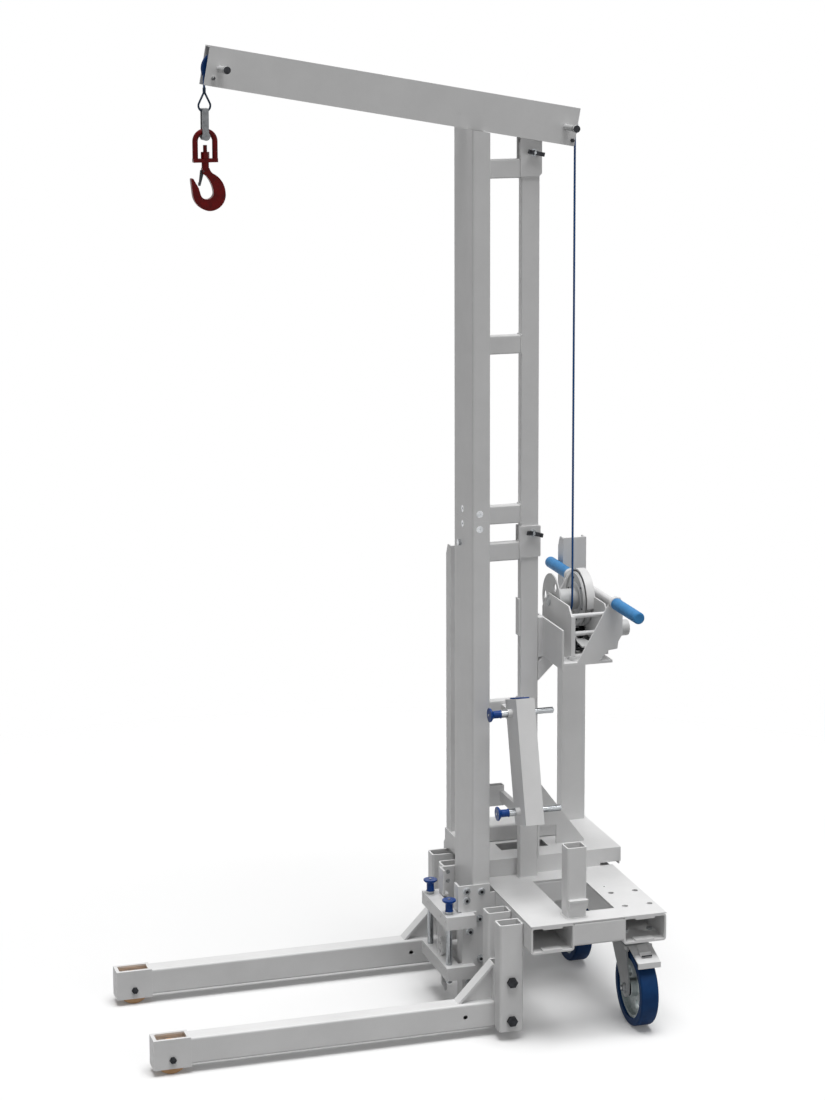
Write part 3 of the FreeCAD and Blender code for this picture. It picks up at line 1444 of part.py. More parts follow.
def hook():
    """Forged hook on its shank and nut, the mouth towards the leg tips."""
    x = hook_line().x
    bottom = bail_bottom()
    neck_top = bottom - bearing_gap
    neck_bottom = neck_top - neck_length
    plate_top = bottom + bail_plate_height + bearing_gap
    shank = rod("z", x, 0, neck_bottom, stud_radius, plate_top + stud_height - neck_bottom)
    nut = hexagon("z", x, 0, plate_top, nut_radius, nut_height)
    neck = rod("z", x, 0, neck_bottom - 2, neck_radius, neck_length + 2)

    def at(dx, dz):
        return Vector(x + dx, -hook_thickness / 2, bottom + dz)

    outline = [
        arc(at(9, -14), at(13, -23), at(22, -30)),
        arc(at(22, -30), at(43, -53), at(49, -76)),
        arc(at(49, -76), at(36, -111), at(5, -121)),
        arc(at(5, -121), at(-22, -106), at(-34, -79)),
        line(at(-34, -79), at(-38, -43)),
        arc(at(-38, -43), at(-35, -39), at(-31, -42)),
        line(at(-31, -42), at(-19, -63)),
        line(at(-19, -63), at(-14, -80)),
        arc(at(-14, -80), at(3, -92), at(19, -75)),
        arc(at(19, -75), at(15, -58), at(1, -34)),
        arc(at(1, -34), at(-4, -30), at(-9, -27)),
        line(at(-9, -27), at(-9, -14)),
        line(at(-9, -14), at(9, -14)),
    ]
    body = Part.Face(Part.Wire(outline)).extrude(Vector(0, hook_thickness, 0))
    solid = joined([shank, nut, neck, body])
    hinge = latch_pivot()
    half = latch_sheet / 2 + bearing_gap
    slot = box(hinge.x - 12, hinge.x + 6, -half, half, hinge.z - 12, hinge.z + 6)
    pin_hole = rod("y", hinge.x, -hook_thickness, hinge.z, latch_pin_radius + shaft_running_gap, 2 * hook_thickness)
    return without(solid, [slot, pin_hole])


def latch_pivot():
    return Vector(hook_line().x - 6, 0, bail_bottom() - 22)


def latch():
    """Sprung latch that closes the hook's mouth, hinged under the neck."""
    hinge = latch_pivot()
    half = latch_sheet / 2
    tip = hinge - Vector(10, 0, latch_length)
    blade = plate_xz([(hinge.x - 7, hinge.z + 3), (hinge.x + 3, hinge.z + 3), (hinge.x + 2, hinge.z - 4),
                      (tip.x + 3, tip.z), (tip.x - 2, tip.z)], -half, half)
    pin = rod("y", hinge.x, -hook_thickness / 2, hinge.z, latch_pin_radius, hook_thickness)
    pad = box(tip.x - 2, tip.x + 2, -hook_thickness / 3, hook_thickness / 3, tip.z, tip.z + 8)
    return joined([blade, pin, pad])


def drum():
    """Rope drum: two flanges on a hub, with the gear beside the right flange."""
    r = drum_flange_radius
    left = rod("x", drum_left_x, drum_y, drum_z, r, drum_flange_sheet)
    right = rod("x", drum_right_x - drum_flange_sheet, drum_y, drum_z, r, drum_flange_sheet)
    hub = rod("x", drum_left_x, drum_y, drum_z, drum_hub_radius, drum_length)
    sleeve = rod("x", drum_right_x, drum_y, drum_z, drum_hub_radius - 6, cheek_gap)
    gear = gear_wheel(gear_tooth_count, gear_x, drum_y, drum_z, 0.0)
    solid = joined([left, right, hub, sleeve, gear])
    for i in range(3):
        angle = radians(126 + 120 * i)
        y = drum_y + 0.7 * r * cos(angle)
        z = drum_z + 0.7 * r * sin(angle)
        solid = solid.cut(rod("x", drum_left_x - 1, y, z, drum_window_radius, drum_flange_sheet + 2))
    return solid.cut(rod("x", drum_left_x - 5, drum_y, drum_z, shaft_radius + shaft_running_gap, 200))


def gear_wheel(teeth, x, y, z, phase):
    """Spur gear with straight-sided teeth, its width along X."""
    pitch = gear_module * teeth / 2
    tip = pitch + 0.75 * gear_module
    root = pitch - 1.0 * gear_module
    step = 2 * pi / teeth
    outline = []
    for i in range(teeth):
        for share, radius in ((-0.36, root), (-0.13, tip), (0.13, tip), (0.36, root)):
            angle = phase + (i + share) * step
            outline.append((y + radius * cos(angle), z + radius * sin(angle)))
    return plate_yz(outline, x, x + gear_width)


def drive_shaft():
    """Drive shaft with its pinion and the round hub that takes the crank or a drill."""
    start = drum_left_x - cheek_gap - cheek_sheet - 4
    shaft = rod("x", start, drum_y, drive_z, shaft_radius, drive_hub_end - start - 4)
    phase = pi / 2 + pi / pinion_tooth_count * (1 if gear_tooth_count % 4 == 0 else 0)
    pinion = gear_wheel(pinion_tooth_count, gear_x, drum_y, drive_z, phase)
    hub_start = drive_hub_end - drive_hub_length
    hub = rod("x", hub_start, drum_y, drive_z, drive_hub_radius, drive_hub_length)
    rim = [e for e in hub.Edges if abs(e.Length - 2 * pi * drive_hub_radius) < 1 and e.CenterOfMass.x > hub_start + 1]
    hub = hub.makeFillet(4, rim)
    socket = hexagon("x", drive_hub_end - 16, drum_y, drive_z, 8, 17)
    return joined([shaft, pinion, hub]).cut(socket)


def winch_frame():
    """Winch cheeks with their folded near edges, spacer rods, drum shaft and gear cover."""
    left_x = drum_left_x - cheek_gap - cheek_sheet
    end_x = right_cheek_x + cheek_sheet
    slope = cheek_top - spacer_heights[0]
    outline = [
        (cheek_near_edge, console_shelf_z + cheek_foot_gap), (cheek_near_edge, cheek_top - slope),
        (cheek_near_edge + slope, cheek_top), (drum_y + cheek_crest, cheek_top),
        (cheek_far_edge, cheek_top - cheek_far_slope), (cheek_far_edge, console_shelf_z),
        (cheek_near_edge + cheek_foot_start, console_shelf_z),
        (cheek_near_edge + cheek_toe, console_shelf_z + cheek_foot_gap),
    ]
    pieces = [plate_yz(outline, x, x + cheek_sheet) for x in (left_x, right_cheek_x)]
    for x in (left_x, end_x - cheek_lip):
        pieces.append(box(x, x + cheek_lip, cheek_near_edge, cheek_near_edge + cheek_sheet,
                          console_shelf_z + cheek_foot_gap, cheek_top - slope))
    for z in spacer_heights:
        pieces.append(rod("x", left_x, spacer_y, z, spacer_radius, end_x - left_x))
    pieces.append(rod("x", left_x, drum_y, drum_z, shaft_radius, end_x - left_x))
    cover_inner = gear_radius + 0.75 * gear_module + gear_cover_gap
    cover_outer = cover_inner + cheek_sheet
    cover = rod("x", drum_right_x + 1, drum_y, drum_z, cover_outer, right_cheek_x - drum_right_x - 1)
    cover = cover.cut(rod("x", drum_right_x, drum_y, drum_z, cover_inner, right_cheek_x - drum_right_x + 1))
    cover = cover.cut(box(drum_right_x, right_cheek_x, drum_y - 2 * cover_outer, drum_y + 2 * cover_outer,
                          console_shelf_z, drum_z - gear_cover_skirt))
    cap = rod("x", right_cheek_x, drum_y, drum_z, cover_outer, cheek_sheet)
    frame = joined(pieces + [cap, cover])
    bore = rod("x", left_x - 1, drum_y, drive_z, shaft_radius + shaft_running_gap, end_x - left_x + 2)
    return frame.cut(bore)


def pawl():
    """Ratchet pawl on the right cheek, beside the pinion."""
    x0 = right_cheek_x - cheek_gap - pawl_sheet
    y = drum_y - pawl_reach
    z = drive_z - pawl_drop
    tail = y - 2 * pawl_pivot_radius
    body = plate_yz([(tail, z - 6), (y + 6, z - 8), (y + 26, z + 2), (y + 24, z + 9), (tail, z + 6)],
                    x0, x0 + pawl_sheet)
    pivot = rod("x", x0, y, z, pawl_pivot_radius, right_cheek_x - x0)
    return joined([body, pivot])


def console():
    """Folded console behind the rear tube: front plate, shelf, back plate and two side plates."""
    half = console_half_width
    t = console_sheet
    z0 = console_shelf_z
    shelf = box(console_x, console_shelf_rear, -half, half, z0 - console_shelf_sheet, z0)
    front = box(console_x, console_x + t, -half, half, console_front_bottom, console_front_top)
    outline = [
        (console_side_foot, z0 - t), (console_side_foot, z0), (push_bar_x - 9, console_side_top - 8),
        (push_bar_x + 2, console_side_top), (push_bar_x + 16, console_side_top - 5),
        (console_rear, console_side_top - 22), (console_rear, console_back_bottom + 37),
        (console_rear - 11, console_back_bottom + 20), (console_rear - 14, console_back_bottom),
        (console_rear - 41, console_back_bottom - 3), (console_rear - 48, console_back_bottom - 12),
        (console_rear - 65, z0), (console_rear - 65, z0 - t),
    ]
    sides = [plate_xz(outline, -half, -half + t), plate_xz(outline, half - t, half)]
    back = box(console_rear - t, console_rear, -half, half, console_back_bottom + 37, console_back_top)
    bearing = rod("x", console_rear - t, drum_y, drive_z, drive_hub_radius + 6, t)
    strut = plate_xz([
        (rear_tube_end_x, z0 - console_strut_height),
        (rear_tube_end_x, z0 - console_strut_height + console_strut_end_height),
        (console_x, console_front_bottom), (console_x + t, z0 - console_shelf_sheet),
        (console_x + 64, z0 - console_shelf_sheet),
    ], -rear_tube_half_depth, rear_tube_half_depth)
    packer = box(rear_tube_end_x, console_x, -rear_tube_half_depth, rear_tube_half_depth,
                 console_front_bottom, console_front_top)
    jaw = box(rear_tube_x - clamp_sheet, rear_tube_x, -rear_tube_half_depth, rear_tube_half_depth,
              clamp_bottom, clamp_top)
    body = joined([shelf, front] + sides + [back, bearing, strut, packer])
    hub_hole = rod("x", console_rear - 2 * t, drum_y, drive_z, shaft_radius + 1, 3 * t)
    bar_hole = rod("y", push_bar_x, -half - 1, push_bar_z, push_bar_radius, 2 * half + 2)
    return [without(body, [hub_hole, bar_hole]), jaw]


def push_bar():
    """Push bar through both side plates of the console, with a collar at each grip."""
    reach = push_bar_half_length - 6
    pieces = [rod("y", push_bar_x, -reach, push_bar_z, push_bar_radius, 2 * reach)]
    for side in (-1, 1):
        start = side * console_half_width
        pieces.append(rod("y", push_bar_x, start, push_bar_z, collar_radius, side * collar_length))
    return joined(pieces)


def bar_grip(side):
    """Moulded grip with a rounded end over one end of the push bar."""
    end = side * push_bar_half_length
    grip = rod("y", push_bar_x, end, push_bar_z, grip_radius, -side * grip_length)
    tip = [e for e in grip.Edges if abs(e.Length - 2 * pi * grip_radius) < 1 and abs(e.CenterOfMass.y - end) < 1]
    grip = grip.makeFillet(5, tip)
    return grip.cut(rod("y", push_bar_x, end - side * 6, push_bar_z, push_bar_radius, -side * grip_length))


def build():
    os.makedirs("parts", exist_ok=True)
    save("base_frame", *base_frame())
    save("lower_deck", lower_deck())
    save("upper_deck", upper_deck(), deck_rail())
    save("rear_gusset", rear_gusset())
    save("rack_channels", rack_channel(left_channel_x), rack_channel(right_channel_x))
    uprights = [upright(upright_inner_edge), upright(leg_outer_y)]
    save("leg_uprights", *(uprights + [mirrored(post) for post in uprights]))
    far_leg = leg()
    save("far_leg", far_leg)
    save("near_leg", mirrored(far_leg))
    save("far_leg_roller", leg_roller())
    save("near_leg_roller", mirrored(leg_roller()))
    for side, name in ((-1, "near"), (1, "far")):
        save(name + "_caster_fork", caster_fork(side))
        save(name + "_brake_pedal", brake_pedal(side))
        save(name + "_tyre", wheel_tyre(side))
        save(name + "_rim", wheel_rim(side))
    near_plate, near_bolts = caster_plate(-1)
    far_plate, far_bolts = caster_plate(1)
    save("caster_plates", near_plate, far_plate)
    save("mast_lower", mast_lower(), joint_spigot())
    save("mast_upper", mast_upper())
    save("rear_tube", rear_tube_lower(), rear_tube_upper())
    save("ladder_rungs", *(ladder_rungs(upper_rung_tops) + ladder_rungs(lower_rung_tops) + [foot_rung()]))
    save("clamp_brackets", joint_bracket(), boom_bracket())
    save("joint_wing_bolt", wing_bolt(joint_wing_height))
    save("boom_wing_bolt", wing_bolt(boom_wing_height))
    save("mast_shoe", *mast_shoe())
    bolts = leg_bolts()
    leg_hardware = bolts + [mirrored(b) for b in bolts] + [leg_axle(), mirrored(leg_axle())]
    mast_hardware = shoe_bolts() + countersunk_screws() + [front_hex_bolt()]
    save("frame_bolts", *(leg_hardware + near_bolts + far_bolts + mast_hardware))
    save("yoke", yoke_frame(), yoke_boss())
    for side, name in ((-1, "near"), (1, "far")):
        save(name + "_yoke_pin", yoke_pin(side))
        save(name + "_yoke_button", at_yoke(pin_button(yoke_collar_length), side))
    save("pin_rack", pin_rack(), *rack_brackets())
    for index, name in ((0, "upper"), (1, "lower")):
        save(name + "_rack_pin", rack_pin(index))
        save(name + "_rack_button", at_rack(pin_button(rack_collar_length), index))
    for index, name in ((0, "near"), (1, "far")):
        save(name + "_spare_pin", spare_pin(index))
        save(name + "_spare_button", at_plug(pin_button(yoke_collar_length), index))
    save("stub_socket", stub_socket())
    save("boom", boom())
    save("front_sheave", sheave(front_axle_x))
    save("rear_sheave", sheave(rear_axle_x))
    save("boom_pins", *boom_pins())
    save("rope", rope())
    save("rope_drop", rope_drop())
    save("rope_eye", rope_eye())
    save("shackle", shackle())
    save("hook_bail", bail())
    save("hook", hook())
    save("hook_latch", latch())
    save("winch_console", *(console() + [push_bar()]))
    save("winch_frame", winch_frame())
    save("winch_drum", drum())
    save("drive_shaft", drive_shaft())
    save("winch_pawl", pawl())
    save("bar_grips", bar_grip(-1), bar_grip(1))


build()
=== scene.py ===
import json
import math
import bmesh
import bpy
from mathutils import Matrix, Vector

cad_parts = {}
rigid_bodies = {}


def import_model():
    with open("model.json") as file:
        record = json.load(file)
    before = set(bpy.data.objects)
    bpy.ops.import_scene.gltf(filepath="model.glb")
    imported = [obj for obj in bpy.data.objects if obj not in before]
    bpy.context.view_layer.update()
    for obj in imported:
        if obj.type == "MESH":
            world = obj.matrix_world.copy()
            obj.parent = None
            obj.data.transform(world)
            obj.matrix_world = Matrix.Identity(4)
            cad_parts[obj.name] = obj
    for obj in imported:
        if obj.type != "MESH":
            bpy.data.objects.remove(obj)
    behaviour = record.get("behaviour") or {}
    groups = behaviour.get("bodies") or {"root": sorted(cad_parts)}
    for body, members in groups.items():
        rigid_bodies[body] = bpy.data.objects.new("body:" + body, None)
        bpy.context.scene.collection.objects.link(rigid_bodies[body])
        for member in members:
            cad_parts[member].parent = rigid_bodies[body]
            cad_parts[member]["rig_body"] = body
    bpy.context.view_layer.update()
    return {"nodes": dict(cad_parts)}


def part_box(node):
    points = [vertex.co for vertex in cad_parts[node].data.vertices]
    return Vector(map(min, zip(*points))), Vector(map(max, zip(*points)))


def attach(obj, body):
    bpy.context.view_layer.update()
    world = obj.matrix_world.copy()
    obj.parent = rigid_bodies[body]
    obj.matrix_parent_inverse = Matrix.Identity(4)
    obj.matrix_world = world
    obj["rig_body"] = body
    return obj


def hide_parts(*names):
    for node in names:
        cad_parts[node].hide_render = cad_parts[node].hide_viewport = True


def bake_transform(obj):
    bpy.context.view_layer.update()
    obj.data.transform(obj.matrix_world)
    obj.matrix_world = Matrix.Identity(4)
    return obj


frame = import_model()
nodes = frame["nodes"]

# A material lift: painted steel tubes, a hand winch, a rope over two sheaves and a hook.
# Metres, in the frame of the CAD part: -X to the leg tips, -Y to the low deck, +Z up.
# Sizes and places in the dictionaries are millimetres, unless a note says otherwise.
mm = 0.001
middleY = 13.0                 # the plane between the near half (-Y) and the far half (+Y)
bothSides = ("near", "far")


# Colours and nodes

def linear(hexCode):
    # sRGB hex to the linear values that the shaders take
    parts = [int(hexCode[i:i + 2], 16) / 255 for i in (1, 3, 5)]
    return tuple(c / 12.92 if c <= 0.04045 else ((c + 0.055) / 1.055) ** 2.4 for c in parts) + (1.0,)


def addNode(tree, kind, settings=None, links=None):
    # one node: settings name its sockets (by name or number), its properties or the stops of its
    # colour band, and links give its sockets an output
    node = tree.nodes.new(kind)
    for name, value in (settings or {}).items():
        if name == "stops":
            band = node.color_ramp
            while len(band.elements) < len(value):
                band.elements.new(0.5)
            for element, (at, colour) in zip(band.elements, value):
                element.position = at
                element.color = linear(colour)
        elif isinstance(name, int) or name in node.inputs:
            node.inputs[name].default_value = value
        else:
            setattr(node, name, value)
    for name, output in (links or {}).items():
        tree.links.new(output, node.inputs[name])
    return node


def newLook(name, **constants):
    # a material, with what is the same all over it set on the shader's own sockets
    material = bpy.data.materials.new(name)
    material.use_nodes = True
    tree = material.node_tree
    shader = tree.nodes["Principled BSDF"]
    for socket, value in constants.items():
        shader.inputs[socket.replace("_", " ")].default_value = value
    place = addNode(tree, "ShaderNodeTexCoord").outputs["Object"]
    return material, tree, shader, place


def wireLook(tree, shader, **outputs):
    # a finish's colour, gloss and relief into its shader
    for socket, output in outputs.items():
        tree.links.new(output, shader.inputs[socket.replace("_", " ")])


def perMetre(sizeMm):
    # noise scale whose features are about this many millimetres wide
    return 1000.0 / sizeMm


def edgeMask(tree, values):
    # bright where the rounded normal leaves the true one: along edges and corners
    soft = addNode(tree, "ShaderNodeBevel", {"samples": 4, "Radius": values["edgeMm"] * mm}).outputs["Normal"]
    true = addNode(tree, "ShaderNodeNewGeometry").outputs["True Normal"]
    dot = addNode(tree, "ShaderNodeVectorMath", {"operation": "DOT_PRODUCT"}, {0: soft, 1: true})
    return addNode(tree, "ShaderNodeMapRange", {"From Min": 1.0, "From Max": 1.0 - values["edgeReach"]},
                   {"Value": dot.outputs["Value"]}).outputs["Result"]


# Materials

paintValues = {
    "white": "#e6e6e6",        # traffic-white powder coat
    "dull": "#dedede",         # the same coat where it is thin or dusty
    "cloud": {"Scale": perMetre(140.0), "Detail": 4.0, "Roughness": 0.6},
    "grime": "#b9b8b4",        # handling marks
    "smear": {"Scale": perMetre(38.0), "Detail": 6.0, "Roughness": 0.72},
    "marks": {"From Min": 0.66, "From Max": 0.86, "To Max": 0.35},
    "edge": "#f3f3f2",         # painted highlight along edges and corners
    "edgeMm": 2.2, "edgeReach": 0.25, "edgeHighlightShare": 0.55,
    "gloss": {"To Min": 0.34, "To Max": 0.52},
    "peel": {"Scale": perMetre(3.2), "Detail": 1.0, "Roughness": 0.4},     # 1 mm wide, drawn coarser to show
    "relief": {"Strength": 0.10, "Distance": 0.25 * mm},
}


def powderCoat(name, values):
    # polyester powder coat, sprayed and baked: soft satin gloss with a fine orange peel, and a painted
    # highlight along edges and corners
    material, tree, shader, place = newLook(name, IOR=1.5, Specular_IOR_Level=0.5)
    cloud = addNode(tree, "ShaderNodeTexNoise", values["cloud"], {"Vector": place}).outputs["Fac"]
    body = addNode(tree, "ShaderNodeValToRGB", {"stops": [(0.35, values["white"]), (0.72, values["dull"])]},
                   {"Fac": cloud}).outputs["Color"]
    smear = addNode(tree, "ShaderNodeTexNoise", values["smear"], {"Vector": place}).outputs["Fac"]
    marks = addNode(tree, "ShaderNodeMapRange", values["marks"], {"Value": smear}).outputs["Result"]
    handled = addNode(tree, "ShaderNodeMix", {"data_type": "RGBA", 7: linear(values["grime"])},
                      {0: marks, 6: body}).outputs[2]
    # painted highlight: every edge and corner mixed towards the brighter edge colour
    paintedEdgeHighlight = addNode(tree, "ShaderNodeMath", {"operation": "MULTIPLY", 1: values["edgeHighlightShare"]},
                   {0: edgeMask(tree, values)}).outputs["Value"]
    coat = addNode(tree, "ShaderNodeMix", {"data_type": "RGBA", 7: linear(values["edge"])},
                   {0: paintedEdgeHighlight, 6: handled}).outputs[2]
    gloss = addNode(tree, "ShaderNodeMapRange", values["gloss"], {"Value": smear}).outputs["Result"]
    peel = addNode(tree, "ShaderNodeTexNoise", values["peel"], {"Vector": place}).outputs["Fac"]
    skin = addNode(tree, "ShaderNodeBump", values["relief"], {"Height": peel}).outputs["Normal"]
    wireLook(tree, shader, Base_Color=coat, Roughness=gloss, Normal=skin)
    return material


whitePaint = powderCoat("whitePowderCoat", paintValues)
winchPaint = powderCoat("winchGreyPowderCoat",
                        dict(paintValues, white="#cfd0d0", dull="#bebfbf", edge="#dededd"))
forkPaint = powderCoat("casterGreyLacquer",
                       dict(paintValues, white="#b4b6b7", dull="#a5a7a8", edge="#cccdcd",
                            gloss={"To Min": 0.3, "To Max": 0.45}))

steelValues = {
    "light": "#a3a6a8", "dark": "#797d80",
    "cloud": {"Scale": perMetre(12.0), "Detail": 5.0, "Roughness": 0.6},
    "edge": "#c4c7c9", "edgeMm": 0.8, "edgeReach": 0.3,
    "flakeMm": 2.0,            # one spangle of the plating
    "gloss": {"To Min": 0.28, "To Max": 0.46},
    "pits": {"Scale": perMetre(1.5), "Detail": 4.0, "Roughness": 0.6},
    "relief": {"Strength": 0.12, "Distance": 0.12 * mm},
}


def bareMetal(name, values, **constants):
    # metal without paint: a cloudy tone, brighter along edges and corners as a painted highlight that is
    # partly rubbed wear, with fine pits
    material, tree, shader, place = newLook(name, Metallic=1.0, **constants)
    cloud = addNode(tree, "ShaderNodeTexNoise", values["cloud"], {"Vector": place}).outputs["Fac"]
    tone = addNode(tree, "ShaderNodeValToRGB", {"stops": [(0.3, values["light"]), (0.7, values["dark"])]},
                   {"Fac": cloud}).outputs["Color"]
    # painted highlight, partly rubbed wear: edges and corners mixed towards the edge colour
    edgeHighlightAndWear = addNode(tree, "ShaderNodeMix", {"data_type": "RGBA", 7: linear(values["edge"])},
                     {0: edgeMask(tree, values), 6: tone}).outputs[2]
    pits = addNode(tree, "ShaderNodeTexNoise", values["pits"], {"Vector": place}).outputs["Fac"]
    skin = addNode(tree, "ShaderNodeBump", values["relief"], {"Height": pits}).outputs["Normal"]
    wireLook(tree, shader, Base_Color=edgeHighlightAndWear, Normal=skin)
    return material, tree, shader, place


def platedSteel(name, values):
    # electroplated or blackened steel: cold grey and slightly spangled, so its gloss flickers
    material, tree, shader, place = bareMetal(name, values)
    flakes = addNode(tree, "ShaderNodeTexVoronoi", {"Scale": perMetre(values["flakeMm"]), "feature": "F1"},
                     {"Vector": place}).outputs["Distance"]
    gloss = addNode(tree, "ShaderNodeMapRange", values["gloss"], {"Value": flakes}).outputs["Result"]
    wireLook(tree, shader, Roughness=gloss)
    return material


zincSteel = platedSteel("zincPlatedSteel", steelValues)
brightZinc = platedSteel("brightZincScrews",
                         dict(steelValues, light="#d4d6d8", dark="#a9acaf", edge="#eceded", flakeMm=1.6,
                              gloss={"To Min": 0.2, "To Max": 0.36}))
greySteel = platedSteel("forgedGreySteel",
                        dict(steelValues, light="#77797b", dark="#5a5c5e", edge="#a9abad", flakeMm=3.0,
                             gloss={"To Min": 0.3, "To Max": 0.48}))
darkSteel = platedSteel("blackenedSteel",
                        dict(steelValues, light="#3b3c3f", dark="#242527", edge="#66686b", flakeMm=1.5,
                             gloss={"To Min": 0.32, "To Max": 0.5}))

castValues = {
    "light": "#c3c8c8", "dark": "#9aa3a3",
    "cloud": {"Scale": perMetre(9.0), "Detail": 6.0, "Roughness": 0.7},
    "edge": "#d9dddc", "edgeMm": 1.2, "edgeReach": 0.3,
    "pits": {"Scale": perMetre(1.6), "Detail": 3.0, "Roughness": 0.6},
    "relief": {"Strength": 0.25, "Distance": 0.25 * mm},
}
# pressure-cast aluminium: matt grey skin with faint pits, brighter along edges and corners as a painted
# highlight that is partly its machined rims
castRim = bareMetal("castAluminium", castValues, Roughness=0.5)[0]

rodValues = {
    "bright": "#a9acaf", "dark": "#8f9294",
    "cloud": {"Scale": perMetre(6.0), "Detail": 4.0, "Roughness": 0.6},
    "gloss": {"To Min": 0.098, "To Max": 0.21},
    "grind": {"Scale": perMetre(0.9), "Detail": 2.0, "Roughness": 0.5},
    "relief": {"Strength": 0.06, "Distance": 0.05 * mm},
}


def drawnRod(name, values):
    # drawn, ground and chromed round bar: bright, with a faint unevenness in its shine
    material, tree, shader, place = newLook(name, Metallic=1.0)
    cloud = addNode(tree, "ShaderNodeTexNoise", values["cloud"], {"Vector": place}).outputs["Fac"]
    tone = addNode(tree, "ShaderNodeValToRGB", {"stops": [(0.3, values["bright"]), (0.8, values["dark"])]},
                   {"Fac": cloud}).outputs["Color"]
    gloss = addNode(tree, "ShaderNodeMapRange", values["gloss"], {"Value": cloud}).outputs["Result"]
    grind = addNode(tree, "ShaderNodeTexNoise", values["grind"], {"Vector": place}).outputs["Fac"]
    skin = addNode(tree, "ShaderNodeBump", values["relief"], {"Height": grind}).outputs["Normal"]
    wireLook(tree, shader, Base_Color=tone, Roughness=gloss, Normal=skin)
    return material


chromeRod = drawnRod("chromedRod", rodValues)

polymerValues = {
    "flowMm": 20.0,            # width of a flow mark
    "scuffOfFlow": 0.3,        # width of a scuff, as a share of that
    "scuffFrom": 0.62, "scuffTo": 0.85, "scuff": 0.3,
    "gloss": {"To Min": 0.45, "To Max": 0.62},
    "grainMm": 1.2, "grain": 0.12, "grainDeepMm": 0.3,
}


def polymerSkin(name, values, **constants):
    # a polymer that was moulded, cast or laid on as a coat: even colour, faint flow marks, fine grain
    material, tree, shader, place = newLook(name, IOR=1.49, **constants)
    flow = addNode(tree, "ShaderNodeTexNoise",
                   {"Scale": perMetre(values["flowMm"]), "Detail": 3.0, "Roughness": 0.5},
                   {"Vector": place}).outputs["Fac"]
    body = addNode(tree, "ShaderNodeValToRGB", {"stops": [(0.3, values["colour"]), (0.75, values["shade"])]},
                   {"Fac": flow}).outputs["Color"]
    scuff = addNode(tree, "ShaderNodeTexNoise",
                    {"Scale": perMetre(values["flowMm"] * values["scuffOfFlow"]), "Detail": 8.0,
                     "Roughness": 0.75}, {"Vector": place}).outputs["Fac"]
    worn = addNode(tree, "ShaderNodeMapRange",
                   {"From Min": values["scuffFrom"], "From Max": values["scuffTo"],
                    "To Max": values["scuff"]}, {"Value": scuff}).outputs["Result"]
    colour = addNode(tree, "ShaderNodeMix", {"data_type": "RGBA", 7: linear(values["worn"])},
                     {0: worn, 6: body}).outputs[2]
    gloss = addNode(tree, "ShaderNodeMapRange", values["gloss"], {"Value": scuff}).outputs["Result"]
    grain = addNode(tree, "ShaderNodeTexNoise",
                    {"Scale": perMetre(values["grainMm"]), "Detail": 2.0, "Roughness": 0.5},
                    {"Vector": place}).outputs["Fac"]
    skin = addNode(tree, "ShaderNodeBump",
                   {"Strength": values["grain"], "Distance": values["grainDeepMm"] * mm},
                   {"Height": grain}).outputs["Normal"]
    wireLook(tree, shader, Base_Color=colour, Roughness=gloss, Normal=skin)
    return material


# cast polyurethane: a matt navy tread
blueTyre = polymerSkin("bluePolyurethane",
                       dict(polymerValues, colour="#123a68", shade="#0d2e57", worn="#35547f", flowMm=30.0,
                            grainMm=1.6), Specular_IOR_Level=0.14)
# moulded ABS: smooth and fairly glossy knobs
blueKnob = polymerSkin("blueAbs",
                       dict(polymerValues, colour="#0b4390", shade="#083779", worn="#2e62a4", scuff=0.2,
                            flowMm=14.0, grainMm=0.8, grain=0.05, gloss={"To Min": 0.22, "To Max": 0.34}),
                       Specular_IOR_Level=0.2)
# cast polyamide: satin sheaves
blueSheave = polymerSkin("bluePolyamide",
                         dict(polymerValues, colour="#0d3f7d", shade="#093269", worn="#33609a", flowMm=16.0,
                              grainMm=1.0, grain=0.08, gloss={"To Min": 0.35, "To Max": 0.5}),
                         Specular_IOR_Level=0.16)
# moulded soft PVC: light, dull and grainy grips
blueGrip = polymerSkin("lightBluePvc",
                       dict(polymerValues, colour="#3f8bc6", shade="#347cb6", worn="#74a9d2", scuff=0.25,
                            flowMm=22.0, grainMm=1.1, grain=0.2), Specular_IOR_Level=0.3)
# cast nylon: waxy tan rollers
tanNylon = polymerSkin("tanCastNylon",
                       dict(polymerValues, colour="#dcb083", shade="#cb9d6f", worn="#a5805b", scuff=0.35,
                            gloss={"To Min": 0.45, "To Max": 0.6}))
# enamel brushed over a rough forging: dark red, glossy and uneven
redPaint = polymerSkin("darkRedEnamel",
                       dict(polymerValues, colour="#7a0507", shade="#570305", worn="#7d2a26", scuff=0.2,
                            flowMm=10.0, grainMm=1.8, grain=0.22, gloss={"To Min": 0.22, "To Max": 0.38}),
                       Specular_IOR_Level=0.12)

braidValues = {
    "dark": "#17437a", "middle": "#275a97", "light": "#4678b0",
    "fibre": {"Scale": perMetre(1.4), "Detail": 6.0, "Roughness": 0.7},
    "relief": {"Strength": 0.45, "Distance": 0.4 * mm},
}


def braidedRope(name, values):
    # braided polyethylene rope, dyed in the fibre: dull, with fine fibres across each strand
    material, tree, shader, place = newLook(name, IOR=1.5, Specular_IOR_Level=0.25, Sheen_Weight=0.15,
                                            Roughness=0.72)
    fibre = addNode(tree, "ShaderNodeTexNoise", values["fibre"], {"Vector": place}).outputs["Fac"]
    stops = [(0.3, values["dark"]), (0.7, values["middle"]), (0.9, values["light"])]
    tone = addNode(tree, "ShaderNodeValToRGB", {"stops": stops}, {"Fac": fibre}).outputs["Color"]
    skin = addNode(tree, "ShaderNodeBump", values["relief"], {"Height": fibre}).outputs["Normal"]
    wireLook(tree, shader, Base_Color=tone, Normal=skin)
    return material


ropeFibre = braidedRope("navyBraid", braidValues)
